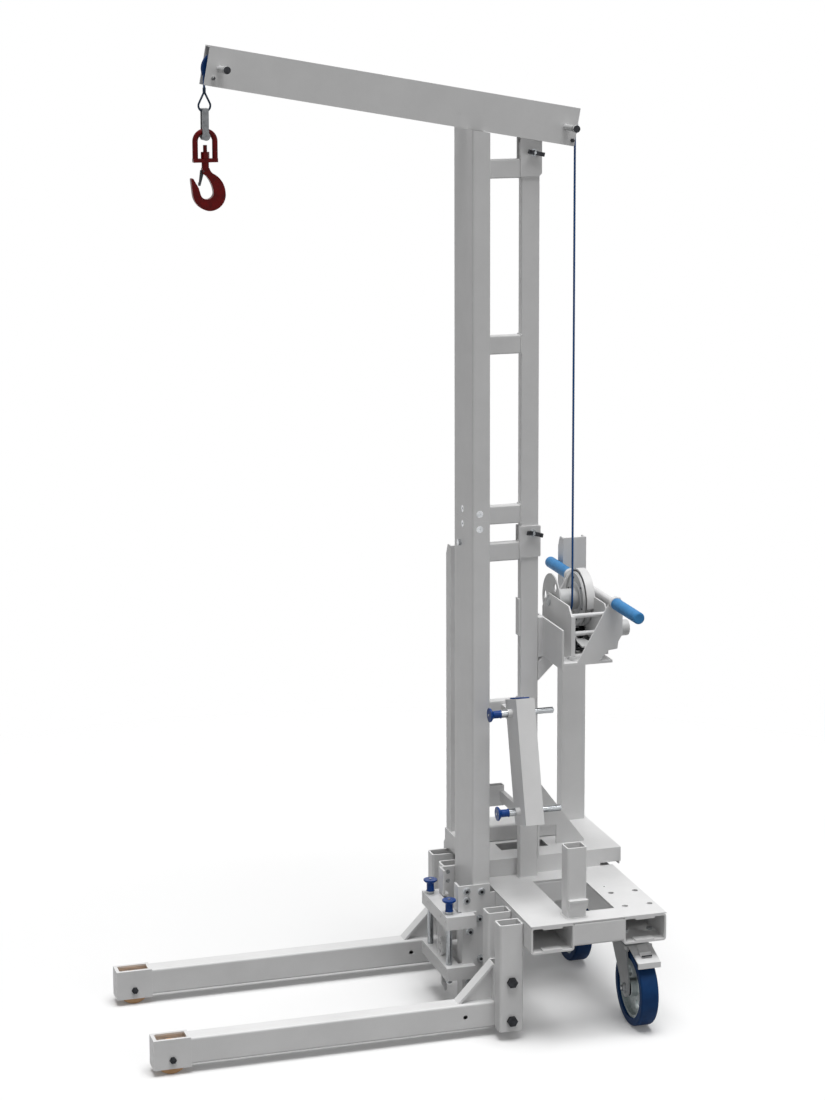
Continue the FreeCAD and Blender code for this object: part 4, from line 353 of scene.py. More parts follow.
# the eye at the hook is greyer than the rope
eyeFibre = braidedRope("slateBraid", dict(braidValues, dark="#243245", middle="#33455a", light="#53667c"))
print("materials made:", len(bpy.data.materials))


# Finishing the CAD nodes

def meshFrom(work, name):
    mesh = bpy.data.meshes.new(name)
    work.to_mesh(mesh)
    work.free()
    return mesh


def easeEdges(work, offsetMm, steps, minAngle):
    # a rounded bevel on every edge that turns by more than so many degrees
    sharp = [e for e in work.edges
             if len(e.link_faces) == 2 and e.calc_face_angle(0.0) > math.radians(minAngle)]
    if sharp:
        bmesh.ops.bevel(work, geom=sharp, offset=offsetMm * mm, offset_type="OFFSET", segments=steps,
                        profile=0.5, affect="EDGES", clamp_overlap=True)


def addPiece(name, mesh, looks, body, slotName, *stoodFor, smoothAngle=34.0):
    # a mesh in its looks, smooth up to the given angle, riding on its body and in place of its nodes
    mesh.polygons.foreach_set("use_smooth", [True] * len(mesh.polygons))
    mesh.set_sharp_from_angle(angle=math.radians(smoothAngle))
    for look in looks if isinstance(looks, (list, tuple)) else [looks]:
        mesh.materials.append(look)
    piece = bpy.data.objects.new(name, mesh)
    bpy.context.scene.collection.objects.link(piece)
    weighted = piece.modifiers.new("evenNormals", "WEIGHTED_NORMAL")
    weighted.keep_sharp = True
    if body:
        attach(piece, body)
    if stoodFor:
        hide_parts(*stoodFor)
    return piece


meshValues = {
    "merge": 0.002,            # corners closer than this are one
    "sliver": 0.001,           # edges shorter than this go
    "flat": 0.6, "forgedFlat": 1.0,        # degrees between triangles of one face
    "sharp": 36.0, "forgedSharp": 50.0, "builtSharp": 40.0,    # degrees from which an edge is eased
}


def openNode(nodeName, flat):
    # a node's surface, its doubled corners merged and each flat face in one piece
    work = bmesh.new()
    work.from_mesh(nodes[nodeName].data)
    bmesh.ops.remove_doubles(work, verts=work.verts, dist=meshValues["merge"] * mm)
    bmesh.ops.dissolve_limit(work, angle_limit=math.radians(flat), verts=work.verts, edges=work.edges)
    return work


def finishNode(nodeName, looks, slotName, soften=0.8, steps=2, chooseLook=None):
    # a copy of the node's surface with softened edges, in its real finish
    work = openNode(nodeName, meshValues["flat"])
    bmesh.ops.dissolve_degenerate(work, edges=work.edges, dist=meshValues["sliver"] * mm)
    shared = [e for e in work.edges if len(e.link_faces) > 2]
    if shared:
        bmesh.ops.split_edges(work, edges=shared)      # solids that only touch keep edges of their own
    work.normal_update()
    if soften:
        easeEdges(work, soften, steps, meshValues["sharp"])
    if chooseLook:
        work.normal_update()
        for face in work.faces:
            face.material_index = chooseLook(face.calc_center_median(), face.normal)
    addPiece(nodeName + "Finish", meshFrom(work, nodeName + "Finish"), looks, nodes[nodeName]["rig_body"],
             slotName, nodeName)


def roundForging(nodeName, look, slotName, offset, steps):
    # a drop forging has no sharp edge: wide bevels all over
    work = openNode(nodeName, meshValues["forgedFlat"])
    work.normal_update()
    easeEdges(work, offset, steps, meshValues["forgedSharp"])
    addPiece(nodeName + "Forging", meshFrom(work, nodeName + "Forging"), look, nodes[nodeName]["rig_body"],
             slotName, nodeName, smoothAngle=60)


paintedNodes = ["base_frame", "lower_deck", "upper_deck", "rear_gusset", "rack_channels", "leg_uprights",
                "far_leg", "near_leg", "mast_lower", "mast_upper", "rear_tube", "ladder_rungs",
                "clamp_brackets", "mast_shoe", "yoke", "pin_rack", "stub_socket", "boom", "winch_console",
                "winch_frame"]
thickPlates = ("yoke", "stub_socket")
for nodeName in paintedNodes:
    finishNode(nodeName, whitePaint, "white_paint", 1.0 if nodeName in thickPlates else 0.8)

lookValues = {
    "crankSocketFrom": 600.0,              # X where the black shaft ends in its grey crank socket
    "clampX": 241.0, "clampReach": 30.0,   # the legs' clamping bolts lie within this reach of that X
    "clampFromMiddle": 150.0,              # and farther than this from the middle
    "tipFrom": -500.0,                     # the roller axles lie beyond this X
    "axleEnd": 0.7,                        # share of a normal along Y that makes an axle's end face
    "cheekBoltTop": 2310.0,                # the boom's bolts below this Z are black all over
    "yokeTop": 271.0, "yokeCollar": 8.4,   # where lock pins seat, and how far their collars stand out
    "rackFace": 293.0, "rackCollar": 18.4,
    "spareSeat": (0, -108.0, 812.0), "spareCollar": 12.0,
    "rackLean": 15.0,                      # degrees of the pin rack from upright
}


def shaftLook(at, normal):
    return 1 if at.x < lookValues["crankSocketFrom"] * mm else 0


def boltLook(at, normal):
    # the clamping bolts and roller axles of the legs are black, the rest are bright plated heads
    x, fromMiddle = at.x / mm, abs(at.y / mm - middleY)
    clamping = (abs(x - lookValues["clampX"]) < lookValues["clampReach"]
                and fromMiddle > lookValues["clampFromMiddle"])
    return 0 if clamping or x < lookValues["tipFrom"] else 1


def axleLook(at, normal):
    # the sheave axles are grey tubes closed by black discs
    return 1 if abs(normal.y) > lookValues["axleEnd"] or at.z < lookValues["cheekBoltTop"] * mm else 0


def pinLook(seat, axis, collar):
    # the knob is blue above the collar and the shank below it is chromed bar
    origin, along = Vector(seat) * mm, Vector(axis).normalized()
    return lambda at, normal: 1 if (at - origin).dot(along) < collar * mm else 0


finishNode("winch_drum", winchPaint, "winch_grey", 0.6)
finishNode("drive_shaft", [winchPaint, darkSteel], "winch_grey", 0.5, chooseLook=shaftLook)
for nodeName in ("winch_pawl", "hook_latch"):
    finishNode(nodeName, darkSteel, "dark_steel", 0.4)
for side in bothSides:
    finishNode(side + "_caster_fork", forkPaint, "zinc_steel", 1.4)
    finishNode(side + "_brake_pedal", whitePaint, "zinc_steel", 1.2)
finishNode("caster_plates", forkPaint, "zinc_steel", 1.0)
finishNode("shackle", greySteel, "zinc_steel", 1.0)
for side in bothSides:
    finishNode(side + "_tyre", blueTyre, "blue_tyre", 1.5)
    finishNode(side + "_rim", castRim, "cast_rim", 1.0)
    finishNode(side + "_leg_roller", tanNylon, "tan_nylon", 1.0)
for nodeName in ("front_sheave", "rear_sheave"):
    finishNode(nodeName, blueSheave, "blue_sheave", 0.6)
finishNode("bar_grips", blueGrip, "blue_grip", 0.8)
finishNode("frame_bolts", [darkSteel, brightZinc], "dark_steel", 0.6, chooseLook=boltLook)
finishNode("boom_pins", [winchPaint, darkSteel], "dark_steel", 0.4, chooseLook=axleLook)

lean = math.radians(lookValues["rackLean"])
yokePin = pinLook((0, 0, lookValues["yokeTop"]), (0, 0, 1), lookValues["yokeCollar"])
sparePin = pinLook(lookValues["spareSeat"], (0, math.sin(lean), math.cos(lean)), lookValues["spareCollar"])
rackPin = pinLook((lookValues["rackFace"], 0, 0), (-1, 0, 0), lookValues["rackCollar"])
for side in bothSides:
    finishNode(side + "_yoke_pin", [blueKnob, chromeRod], "blue_knob", 0.8, chooseLook=yokePin)
    finishNode(side + "_spare_pin", [blueKnob, chromeRod], "blue_knob", 0.8, chooseLook=sparePin)
for level in ("upper", "lower"):
    finishNode(level + "_rack_pin", [blueKnob, chromeRod], "blue_knob", 0.8, chooseLook=rackPin)
for pinName in ("near_yoke", "far_yoke", "upper_rack", "lower_rack", "near_spare", "far_spare"):
    finishNode(pinName + "_button", chromeRod, "chrome_button", 0.5)
roundForging("hook", redPaint, "red_hook", 5.5, 4)
finishNode("hook_bail", redPaint, "red_hook", 1.2)
print("CAD nodes finished")


# Forms built from given sizes

def lathe(work, profile, axis, centre=(0, 0, 0), sides=36):
    # turn (radius, along) pairs, in millimetres, round a line through the centre
    rings = []
    for radius, along in profile:
        ring = []
        for k in range(sides):
            turn = 2 * math.pi * k / sides
            u, v = radius * math.cos(turn), radius * math.sin(turn)
            spot = {"x": (along, u, v), "y": (u, along, v), "z": (u, v, along)}[axis]
            ring.append(work.verts.new([(c + o) * mm for c, o in zip(spot, centre)]))
        rings.append(ring)
    for low, high in zip(rings, rings[1:]):
        for k in range(sides):
            n = (k + 1) % sides
            work.faces.new((low[k], low[n], high[n], high[k]))
    if profile[0] != profile[-1]:
        work.faces.new(rings[0])
        work.faces.new(rings[-1])


def prism(work, outline, low, high, axis="y"):
    # a plate of the given outline (millimetres) between two places along an axis
    def put(u, v, w):
        return [c * mm for c in {"y": (u, w, v), "x": (w, u, v), "z": (u, v, w)}[axis]]
    bottom = [work.verts.new(put(u, v, low)) for u, v in outline]
    top = [work.verts.new(put(u, v, high)) for u, v in outline]
    work.faces.new(bottom)
    work.faces.new(top)
    for k in range(len(outline)):
        n = (k + 1) % len(outline)
        work.faces.new((bottom[k], bottom[n], top[n], top[k]))


def closeWork(work, name, bevelMm=0.5, steps=2):
    # faces turned outward and edges eased on a form built from given sizes
    bmesh.ops.recalc_face_normals(work, faces=work.faces)
    if bevelMm:
        easeEdges(work, bevelMm, steps, meshValues["builtSharp"])
    return meshFrom(work, name)


def addBuilt(name, work, look, body, slotName, bevelMm=0.5, steps=2):
    # closes a form built from given sizes and adds it as a piece
    addPiece(name, closeWork(work, name, bevelMm, steps), look, body, slotName)


def hexagon(radius, turn, middleU, middleV):
    # six corners round a middle, the first one turned by so many degrees
    corners = [math.radians(60 * k + turn) for k in range(6)]
    return [(middleU + radius * math.cos(c), middleV + radius * math.sin(c)) for c in corners]


def oblong(lowU, highU, lowV, highV):
    return [(lowU, lowV), (highU, lowV), (highU, highV), (lowU, highV)]


def straight(a, b, stepMm):
    # points from a to b, in metres
    a, b = Vector(a), Vector(b)
    count = max(2, int((b - a).length / (stepMm * mm)))
    return [a.lerp(b, i / count) for i in range(count + 1)]


def turning(centre, radius, start, end, stepMm, plane="xz"):
    # points on an arc, in metres, its angles in degrees from +X (or +Y) towards +Z
    count = max(3, int(abs(math.radians(end - start)) * radius / (stepMm * mm)))
    found = []
    for i in range(count + 1):
        turn = math.radians(start + (end - start) * i / count)
        u, w = radius * math.cos(turn), radius * math.sin(turn)
        found.append(Vector(centre) + (Vector((u, 0, w)) if plane == "xz" else Vector((0, u, w))))
    return found


def heading(points, i):
    # the way that a line of points goes at one of them
    return (points[min(i + 1, len(points) - 1)] - points[max(i - 1, 0)]).normalized()


def tubeMesh(name, rings):
    # a tube with closed ends through rings that all have the same number of points
    count = len(rings[0])
    faces = []
    for i in range(len(rings) - 1):
        for k in range(count):
            n = (k + 1) % count
            faces.append((i * count + k, i * count + n, (i + 1) * count + n, (i + 1) * count + k))
    faces.append(tuple(reversed(range(count))))
    faces.append(tuple((len(rings) - 1) * count + k for k in range(count)))
    mesh = bpy.data.meshes.new(name)
    mesh.from_pydata([point for ring in rings for point in ring], [], faces)
    mesh.update()
    return mesh


# Wing bolts on the two clamp brackets

wingValues = {
    "seat": -4.0,              # along Y, the bracket's face
    "thread": 4.0, "threadSink": 0.2, "threadTip": 3.4, "threadOut": 2.0,
    "flange": 10.0, "flangeSink": 0.1, "flangeThick": 1.5,
    "hub": 7.4, "hubFrom": 1.6, "hubEnd": 6.068, "hubLength": 11.0,
    "wing": [(1.0, -6.5), (9.0, -7.5), (16.0, -11.5), (20.5, -17.0), (23.4, -22.5), (22.6, -25.2),
             (18.6, -25.0), (14.2, -20.5), (8.0, -16.0), (1.0, -15.2)],
    "wingHalfHeight": 5.5,
    "tilt": 12.0,              # degrees round the bolt's line
}


def wingBolt(nodeName, body, values):
    low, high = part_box(nodeName)
    middle = (low + high) / 2
    seat, end = values["seat"], values["seat"] - values["hubLength"]
    thread, flange = values["thread"], values["flange"]
    hub = bmesh.new()
    lathe(hub, [(thread, values["threadSink"]), (thread, seat + values["threadSink"]),
                (flange, seat + values["flangeSink"]), (flange, seat - values["flangeThick"]),
                (values["hub"], seat - values["hubFrom"]), (values["hubEnd"], end),
                (thread, end), (values["threadTip"], end - values["threadOut"])], "y")
    wings = bmesh.new()
    for way in (-1, 1):
        prism(wings, [(way * u, v) for u, v in values["wing"]], -values["wingHalfHeight"],
              values["wingHalfHeight"], "z")
    turned = Matrix.Rotation(math.radians(values["tilt"]), 4, "Y")
    stand = Matrix.Translation((middle.x, 0, middle.z)) @ turned
    hubMesh = closeWork(hub, nodeName + "Hub")
    wingMesh = closeWork(wings, nodeName + "Wings", 1.4, 3)
    for mesh in (hubMesh, wingMesh):
        mesh.transform(stand)
    addPiece(nodeName + "Hub", hubMesh, zincSteel, body, "zinc_steel", nodeName)
    addPiece(nodeName + "Wings", wingMesh, darkSteel, body, "zinc_steel", nodeName)


wingBolt("joint_wing_bolt", "joint_wing", wingValues)
wingBolt("boom_wing_bolt", "boom_wing", wingValues)
print("wing bolts turned")


# Rope

ropeValues = {
    "radius": 3.0,
    "strands": 3,
    "layMm": 24.0,             # one full turn of a strand
    "ringMm": 2.4, "dropRingMm": 0.8,
    "sides": 18,
    "lobe": 0.13,              # how deep the valleys between strands are, as a share of the radius
}

ropePath = {
    # metres
    "front": (-0.4265, 0.013, 2.48898),    # axle of the front sheave
    "rear": (0.4804, 0.013, 2.32662),
    "line": 0.034,                         # rope's middle line round a sheave
    "slope": 10.15,                        # degrees, how the boom falls to the rear
    "drum": (0.5144, 0.044, 1.067),
    "wrap": 0.031,                         # rope's middle line round the drum
    "eyeTop": 2.44198, "eyeGap": 0.002,
}


def ropeMesh(name, points, values):
    # a twisted tube that follows points given in metres, its lobes turning along the way
    rings = []
    travelled = 0.0
    side = Vector((0, 1, 0))
    for i, point in enumerate(points):
        along = heading(points, i)
        if i:
            travelled += (point - points[i - 1]).length
        side = (side - along * side.dot(along)).normalized()
        other = along.cross(side)
        twist = 2 * math.pi * travelled / (values["layMm"] * mm)
        ring = []
        for k in range(values["sides"]):
            turn = 2 * math.pi * k / values["sides"]
            valley = 1 - abs(math.cos(values["strands"] * (turn - twist) / 2))
            reach = values["radius"] * mm * (1 - values["lobe"] * valley)
            ring.append(point + side * (reach * math.cos(turn)) + other * (reach * math.sin(turn)))
        rings.append(ring)
    return tubeMesh(name, rings)


def layRope(path, values):
    # up over the front sheave, down the boom, over the rear sheave and down to the drum
    step = values["ringMm"]
    front, rear, drum = Vector(path["front"]), Vector(path["rear"]), Vector(path["drum"])
    crest = 90 - path["slope"]
    points = turning(front, path["line"], 180, crest, step)
    overRear = turning(rear, path["line"], crest, 0, step)
    points += straight(points[-1], overRear[0], step)[1:-1] + overRear
    points += straight(overRear[-1], (drum.x, drum.y - path["wrap"], drum.z), step)[1:-1]
    points += turning(drum, path["wrap"], 180, 270, step, "yz")
    return points


addPiece("boomRope", ropeMesh("boomRope", layRope(ropePath, ropeValues), ropeValues), ropeFibre, "chassis",
         "blue_rope", "rope", smoothAngle=80)
frontX, frontY, frontZ = ropePath["front"]
dropTop = (frontX - ropePath["line"], frontY, frontZ)
dropEnd = (dropTop[0], frontY, ropePath["eyeTop"] - ropePath["eyeGap"])
dropPoints = straight(dropTop, dropEnd, ropeValues["dropRingMm"])
drop = addPiece("ropeDrop", ropeMesh("ropeDrop", dropPoints, ropeValues), ropeFibre, None, "blue_rope",
                smoothAngle=80)
drop.modifiers.clear()
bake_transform(drop)
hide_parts("rope_drop")
finishNode("rope_eye", eyeFibre, "blue_rope", 0.0)
print("rope laid")


# Welds

weldValues = {
    "radius": 2.6, "sides": 8,
    "ripplePitch": 3.6, "ripple": 0.14, "perRipple": 4,    # four rings to a ripple
    "endShare": 0.35,          # how thin an open bead ends
    "stub": (380.0, 434.0, -333.0, -286.0),                # X and Y round the stub socket's foot
    "rearTube": (365.0, 415.0, 0.5, 25.5),                 # and round the rear tube's foot
    "rungTops": (2246.0, 1790.0, 1341.0, 1242.0, 817.0), "rungHeight": 49.0,
    "rungEnds": (260.0, 365.0), "rungY": (0.5, 25.5),
    "postX": (208.0, 272.0), "postFaces": (220.0, 271.0),  # legs' posts, and their faces from the middle
    "postZ": 93.5,
}


def weldBead(name, corners, values, closed=False):
    # a rippled bead of filler along straight runs, painted over with the rest
    turns = [Vector([c * mm for c in corner]) for corner in corners]
    if closed:
        turns.append(turns[0])
    points = []
    for a, b in zip(turns, turns[1:]):
        points += straight(a, b, values["ripplePitch"] / values["perRipple"])[:-1]
    points.append(turns[-1])
    rings = []
    for i, point in enumerate(points):
        along = heading(points, i)
        upright = abs(along.z) >= 0.9
        side = along.orthogonal().normalized() if upright else Vector((0, 0, 1)).cross(along).normalized()
        other = along.cross(side)
        swell = 1 + values["ripple"] * math.sin(2 * math.pi * i / values["perRipple"])
        if i in (0, len(points) - 1) and not closed:
            swell *= values["endShare"]
        reach = values["radius"] * mm * swell
        angles = [2 * math.pi * k / values["sides"] for k in range(values["sides"])]
        rings.append([point + side * (reach * math.cos(t)) + other * (reach * math.sin(t)) for t in angles])
    addPiece(name, tubeMesh(name, rings), whitePaint, "chassis", "white_paint", smoothAngle=70)


def layWelds(values):
    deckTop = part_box("lower_deck")[1].z / mm
    for name, foot in (("stubWeld", values["stub"]), ("rearTubeWeld", values["rearTube"])):
        weldBead(name, [(x, y, deckTop) for x, y in oblong(*foot)], values, closed=True)
    lowY, highY = values["rungY"]
    for i, top in enumerate(values["rungTops"]):
        bottom = top - values["rungHeight"]
        for k, x in enumerate(values["rungEnds"]):
            corners = [(x, lowY, bottom), (x, lowY, top), (x, highY, top), (x, highY, bottom)]
            weldBead("rungWeld%d%d" % (i, k), corners, values, closed=True)
    for side, way in zip(bothSides, (-1, 1)):
        for k, face in enumerate(values["postFaces"]):
            corners = [(x, middleY + way * face, values["postZ"]) for x in values["postX"]]
            weldBead(side + "PostWeld%d" % k, corners, values)


layWelds(weldValues)
print("welds laid")


# Screws of the mast shoe and the yoke

screwValues = {
    "onShoe": [(193.0, 328.0), (234.0, 324.0), (193.0, 303.0), (228.5, 250.0), (232.0, 140.0)],    # X and Z
    "onYoke": [(200.0, 219.0), (197.0, 79.0)],
    "shoeFace": 85.5, "yokeFace": 91.5,      # from the middle plane to the plate under the head
    "head": 6.0,
    "socket": 4.6, "socketTurn": 20.0, "socketDeep": 1.0, "socketProud": 0.3,
    "washer": 10.6, "washerTop": 8.6, "washerThick": 1.5, "washerEdge": 1.2,
}


def screwDetail(values):
    # hexagon sockets in the round heads as dark hexagons, painted shade for their recesses, and the washers
    # under them
    sockets, washers = bmesh.new(), bmesh.new()
    washer, washerTop = values["washer"], values["washerTop"]
    for places, face in ((values["onShoe"], values["shoeFace"]), (values["onYoke"], values["yokeFace"])):
        for x, z in places:
            for way in (-1, 1):
                seat = middleY + way * face
                tip = seat + way * values["head"]
                low, high = sorted((tip - way * values["socketDeep"], tip + way * values["socketProud"]))
                # a dark hexagon in the head: painted shade for the socket's recess
                prism(sockets, hexagon(values["socket"], values["socketTurn"], x, z), low, high)
                lathe(washers, [(washer, seat), (washer, seat + way * values["washerEdge"]),
                                (washerTop, seat + way * values["washerThick"])], "y", (x, 0, z), sides=28)
    addBuilt("screwSocketShade", sockets, darkSteel, "chassis", "dark_steel", 0)
    addBuilt("screwWashers", washers, brightZinc, "chassis", "zinc_steel", 0.3)


screwDetail(screwValues)
print("screws detailed")


# Winch

winchValues = {
    "shaftY": 44.0, "drumZ": 1067.0,
    "flangeFace": 534.0,       # X of the drum's right flange
    "sink": 0.5,               # how far rings and rivets reach into it
    "rings": [(66.0, 70.5), (40.0, 45.0)], "ringShoulder": 1.0, "ringProud": 2.2,
    "rivets": 6, "rivetCircle": 56.0, "rivetTurn": 0.3,    # rivetTurn is a share of the pitch
    "rivet": 2.6, "rivetCrown": [(1.0, 0.8), (0.6, 1.6)], "rivetTip": 0.2, "rivetProud": 1.8,
    "leftCheek": 459.0,        # X of the left cheek's outside
    "shafts": [(1067.0, 13.75, 9.9), (977.0, 10.0, 7.2)],    # height, then a washer's radius and its hole
    "washerThick": 1.6, "washerSink": 0.2,
}


def winchDetail(values):
    # pressed rings and rivets on the drum's right flange
    face, proud, sink = values["flangeFace"], values["ringProud"], values["sink"]
    y, z, shoulder = values["shaftY"], values["drumZ"], values["ringShoulder"]
    rings = bmesh.new()
    for inner, outer in values["rings"]:
        lathe(rings, [(inner, face + sink), (inner + shoulder, face - proud),
                      (outer - shoulder, face - proud), (outer, face + sink), (inner, face + sink)],
              "x", (0, y, z), sides=72)
    addBuilt("drumFlangeRings", rings, winchPaint, "drum", "winch_grey", 0.4)
    rivets = bmesh.new()
    for k in range(values["rivets"]):
        turn = 2 * math.pi * (k + values["rivetTurn"]) / values["rivets"]
        spot = (0, y + values["rivetCircle"] * math.cos(turn), z + values["rivetCircle"] * math.sin(turn))
        size = values["rivet"]
        crown = [(size * share, face - rise) for share, rise in values["rivetCrown"]]
        lathe(rivets, [(size, face + sink)] + crown + [(values["rivetTip"], face - values["rivetProud"])],
              "x", spot, sides=14)
    addBuilt("drumRivets", rivets, darkSteel, "drum", "dark_steel", 0)
    # washers outside the left cheek, on the drum shaft and the drive shaft
    washers = bmesh.new()
    cheek, thick = values["leftCheek"], values["washerThick"]
    for z, size, hole in values["shafts"]:
        lathe(washers, [(size, cheek + values["washerSink"]), (size, cheek - thick), (hole, cheek - thick)],
              "x", (0, y, z))
    addBuilt("cheekWashers", washers, zincSteel, "chassis", "zinc_steel", 0.3)


brakeValues = {
    "x": (467, 546), "y": (-66, 6),                        # outline of the pressed bracket
    "bars": [(468, 484), (496, 508), (520, 545)],          # X of its bars, with the slots between them
    "barZ": (954.0, 958.5),
    "ties": [(-66, -56), (-38, -28), (-8, 6)],             # Y of the ties across the bars
    "tieZ": (954.5, 959.5),
    "fin": [(-60, 956), (-60, 976), (-38, 984), (-16, 976), (-16, 956)], "finX": (500, 503.5),
    "cover": [(-70, 961), (-70, 966), (-30, 970), (10, 966), (10, 961)], "coverX": (512, 545),
    "springFrom": (476, -47, 968), "springLength": 18, "springRadius": 6, "springTurns": 7,
    "springPoints": 180, "springWire": 1.1,
}


def brakeDetail(values):
    # under the drum: the brake's pressed bracket with its slots, the cover and the return spring
    bracket = bmesh.new()
    for low, high in values["bars"]:
        prism(bracket, oblong(low, high, *values["y"]), *values["barZ"], "z")
    for low, high in values["ties"]:
        prism(bracket, oblong(*values["x"], low, high), *values["tieZ"], "z")
    prism(bracket, values["fin"], *values["finX"], "x")
    addBuilt("brakeBracket", bracket, darkSteel, "chassis", "dark_steel", 0.8)
    cover = bmesh.new()
    prism(cover, values["cover"], *values["coverX"], "x")
    addBuilt("brakeCover", cover, winchPaint, "chassis", "winch_grey", 1.6, 3)
    x, y, z = values["springFrom"]
    count, reach = values["springPoints"], values["springRadius"]
    coil = []
    for k in range(count + 1):
        turn = 2 * math.pi * values["springTurns"] * k / count
        coil.append(Vector((x + values["springLength"] * k / count, y + reach * math.cos(turn),
                            z + reach * math.sin(turn))) * mm)
    wire = dict(ropeValues, radius=values["springWire"], lobe=0.0, sides=8)
    addPiece("brakeSpring", ropeMesh("brakeSpring", coil, wire), darkSteel, "chassis", "dark_steel",
             smoothAngle=80)


winchDetail(winchValues)
brakeDetail(brakeValues)
print("winch detailed")


# Casters and their brake pedals

casterValues = {
    "x": 591.0, "swivelY": {"near": -234.0, "far": 260.0}, "trail": 55.0, "axleZ": 100.0,
    "forkHalf": 33.5,          # from the middle to the outside of the fork's legs
    "washer": 15.0, "washerHole": 9.0, "washerThick": 1.8, "washerSink": 1.0,
    "nut": 10.5, "nutTurn": 12.0, "nutTop": 8.5,
    "thread": 5.0, "threadFrom": 8.0, "threadTo": 10.5, "threadTip": 3.8, "threadEnd": 11.5,
    "raceZ": (206.5, 219.0), "race": 37.0, "raceWidth": 6.0, "raceLip": 1.5, "raceSwell": 1.2,
    "hubHalf": 24.0,           # from the wheel's middle to the face of its hub
    "seal": 22.0, "sealLip": 17.0, "sealHole": 11.0,
    "sealSink": 2.0, "sealEdge": 0.6, "sealProud": 1.4,
}


def casterDetail(side, values):
    # nuts and washers on the wheel's axle, and the ball race under the top plate
    x, y = values["x"], values["swivelY"][side]
    axleAt = (x, y - values["trail"], values["axleZ"])
    axle = bmesh.new()
    for way in (-1, 1):
        face = way * values["forkHalf"]
        out = face + way * values["washerThick"]
        lathe(axle, [(values["washer"], face - way * values["washerSink"]), (values["washer"], out),
                     (values["washerHole"], out)], "x", axleAt)
        low, high = sorted((x + out, x + face + way * values["nutTop"]))
        prism(axle, hexagon(values["nut"], values["nutTurn"], axleAt[1], axleAt[2]), low, high, "x")
        lathe(axle, [(values["thread"], face + way * values["threadFrom"]),
                     (values["thread"], face + way * values["threadTo"]),
                     (values["threadTip"], face + way * values["threadEnd"])], "x", axleAt)
    addBuilt(side + "AxleNuts", axle, zincSteel, side + "_swivel", "zinc_steel", 0.7)
    low, high = values["raceZ"]
    size, inside, lip = values["race"], values["race"] - values["raceWidth"], values["raceLip"]
    race = bmesh.new()
    lathe(race, [(inside, low), (size, low + lip), (size + values["raceSwell"], (low + high) / 2),
                 (size, high - lip), (inside, high), (inside, low)], "z", (x, y, 0), sides=60)
    addBuilt(side + "BallRace", race, forkPaint, side + "_swivel", "zinc_steel", 0.4)


def hubDetail(side, values):
    # the wheel's bearing seals
    axleAt = (values["x"], values["swivelY"][side] - values["trail"], values["axleZ"])
    hub = bmesh.new()
    for way in (-1, 1):
        face = way * values["hubHalf"]
        out = face + way * values["sealProud"]
        lathe(hub, [(values["seal"], face - way * values["sealSink"]),
                    (values["seal"], face + way * values["sealEdge"]),
                    (values["sealLip"], out), (values["sealHole"], out)], "x", axleAt)
    addBuilt(side + "HubSeals", hub, darkSteel, side + "_wheel", "dark_steel")


pedalValues = {
    "pivotY": {"near": -296.0, "far": 198.0}, "pivotZ": 211.0,
    "rollY": 47.0, "rollRise": -1.0,        # from the pivot to the middle of the rolled edge
    "roll": 5.5, "rollHalf": 16.0, "rollEnd": 3.85, "rollEase": 1.6,
    "slitY": 62.0, "slitRise": -3.6, "slit": 2.2, "slitShorter": 2.0,
}


def pedalDetail(side, values, x):
    # the toe grip: a short rolled bar across the plate, and a dark rod in the slit that it was pressed out
    # of, painted shade for that opening
    pivotY, pivotZ = values["pivotY"][side], values["pivotZ"]
    half, size, end, ease = values["rollHalf"], values["roll"], values["rollEnd"], values["rollEase"]
    roll = bmesh.new()
    lathe(roll, [(end, -half), (size, -half + ease), (size, half - ease), (end, half)], "x",
          (x, pivotY - values["rollY"], pivotZ + values["rollRise"]), sides=24)
    addBuilt(side + "PedalRoll", roll, whitePaint, side + "_pedal", "white_paint")
    half -= values["slitShorter"]
    # painted shade: a dark rod where the slit opens into shadow
    slit = bmesh.new()
    lathe(slit, [(values["slit"], -half), (values["slit"], half)], "x",
          (x, pivotY - values["slitY"], pivotZ + values["slitRise"]), sides=12)
    addBuilt(side + "PedalSlitShade", slit, darkSteel, side + "_pedal", "dark_steel", 0)


for side in bothSides:
    casterDetail(side, casterValues)
    hubDetail(side, casterValues)
    pedalDetail(side, pedalValues, casterValues["x"])
print("casters detailed")


# Camera

cameraValues = {
    "place": (-1.9671, -6.8527, 2.8335),    # metres
    "turn": 17.6931,           # degrees to the right of +Y
    "down": 9.0,
    "roll": 0.0084,
    "focal": 2820.7,           # pixels, in a frame of 825 x 1100
    "frameHeight": 1100, "sensor": 36.0,
    "shift": (-0.05, -0.16),
}


def aimCamera(values):
    cam = bpy.data.cameras.new("studioCamera")
    cam.sensor_fit = "VERTICAL"
    cam.sensor_height = values["sensor"]
    cam.lens = values["focal"] / values["frameHeight"] * values["sensor"]
    cam.shift_x, cam.shift_y = values["shift"]
    cam.clip_end = 100
    stand = bpy.data.objects.new("studioCamera", cam)
    bpy.context.scene.collection.objects.link(stand)
    stand.location = values["place"]
    stand.rotation_euler = (math.radians(90 - values["down"]), math.radians(values["roll"]),
                            -math.radians(values["turn"]))
    bpy.context.scene.camera = stand


aimCamera(cameraValues)


# Floor and light

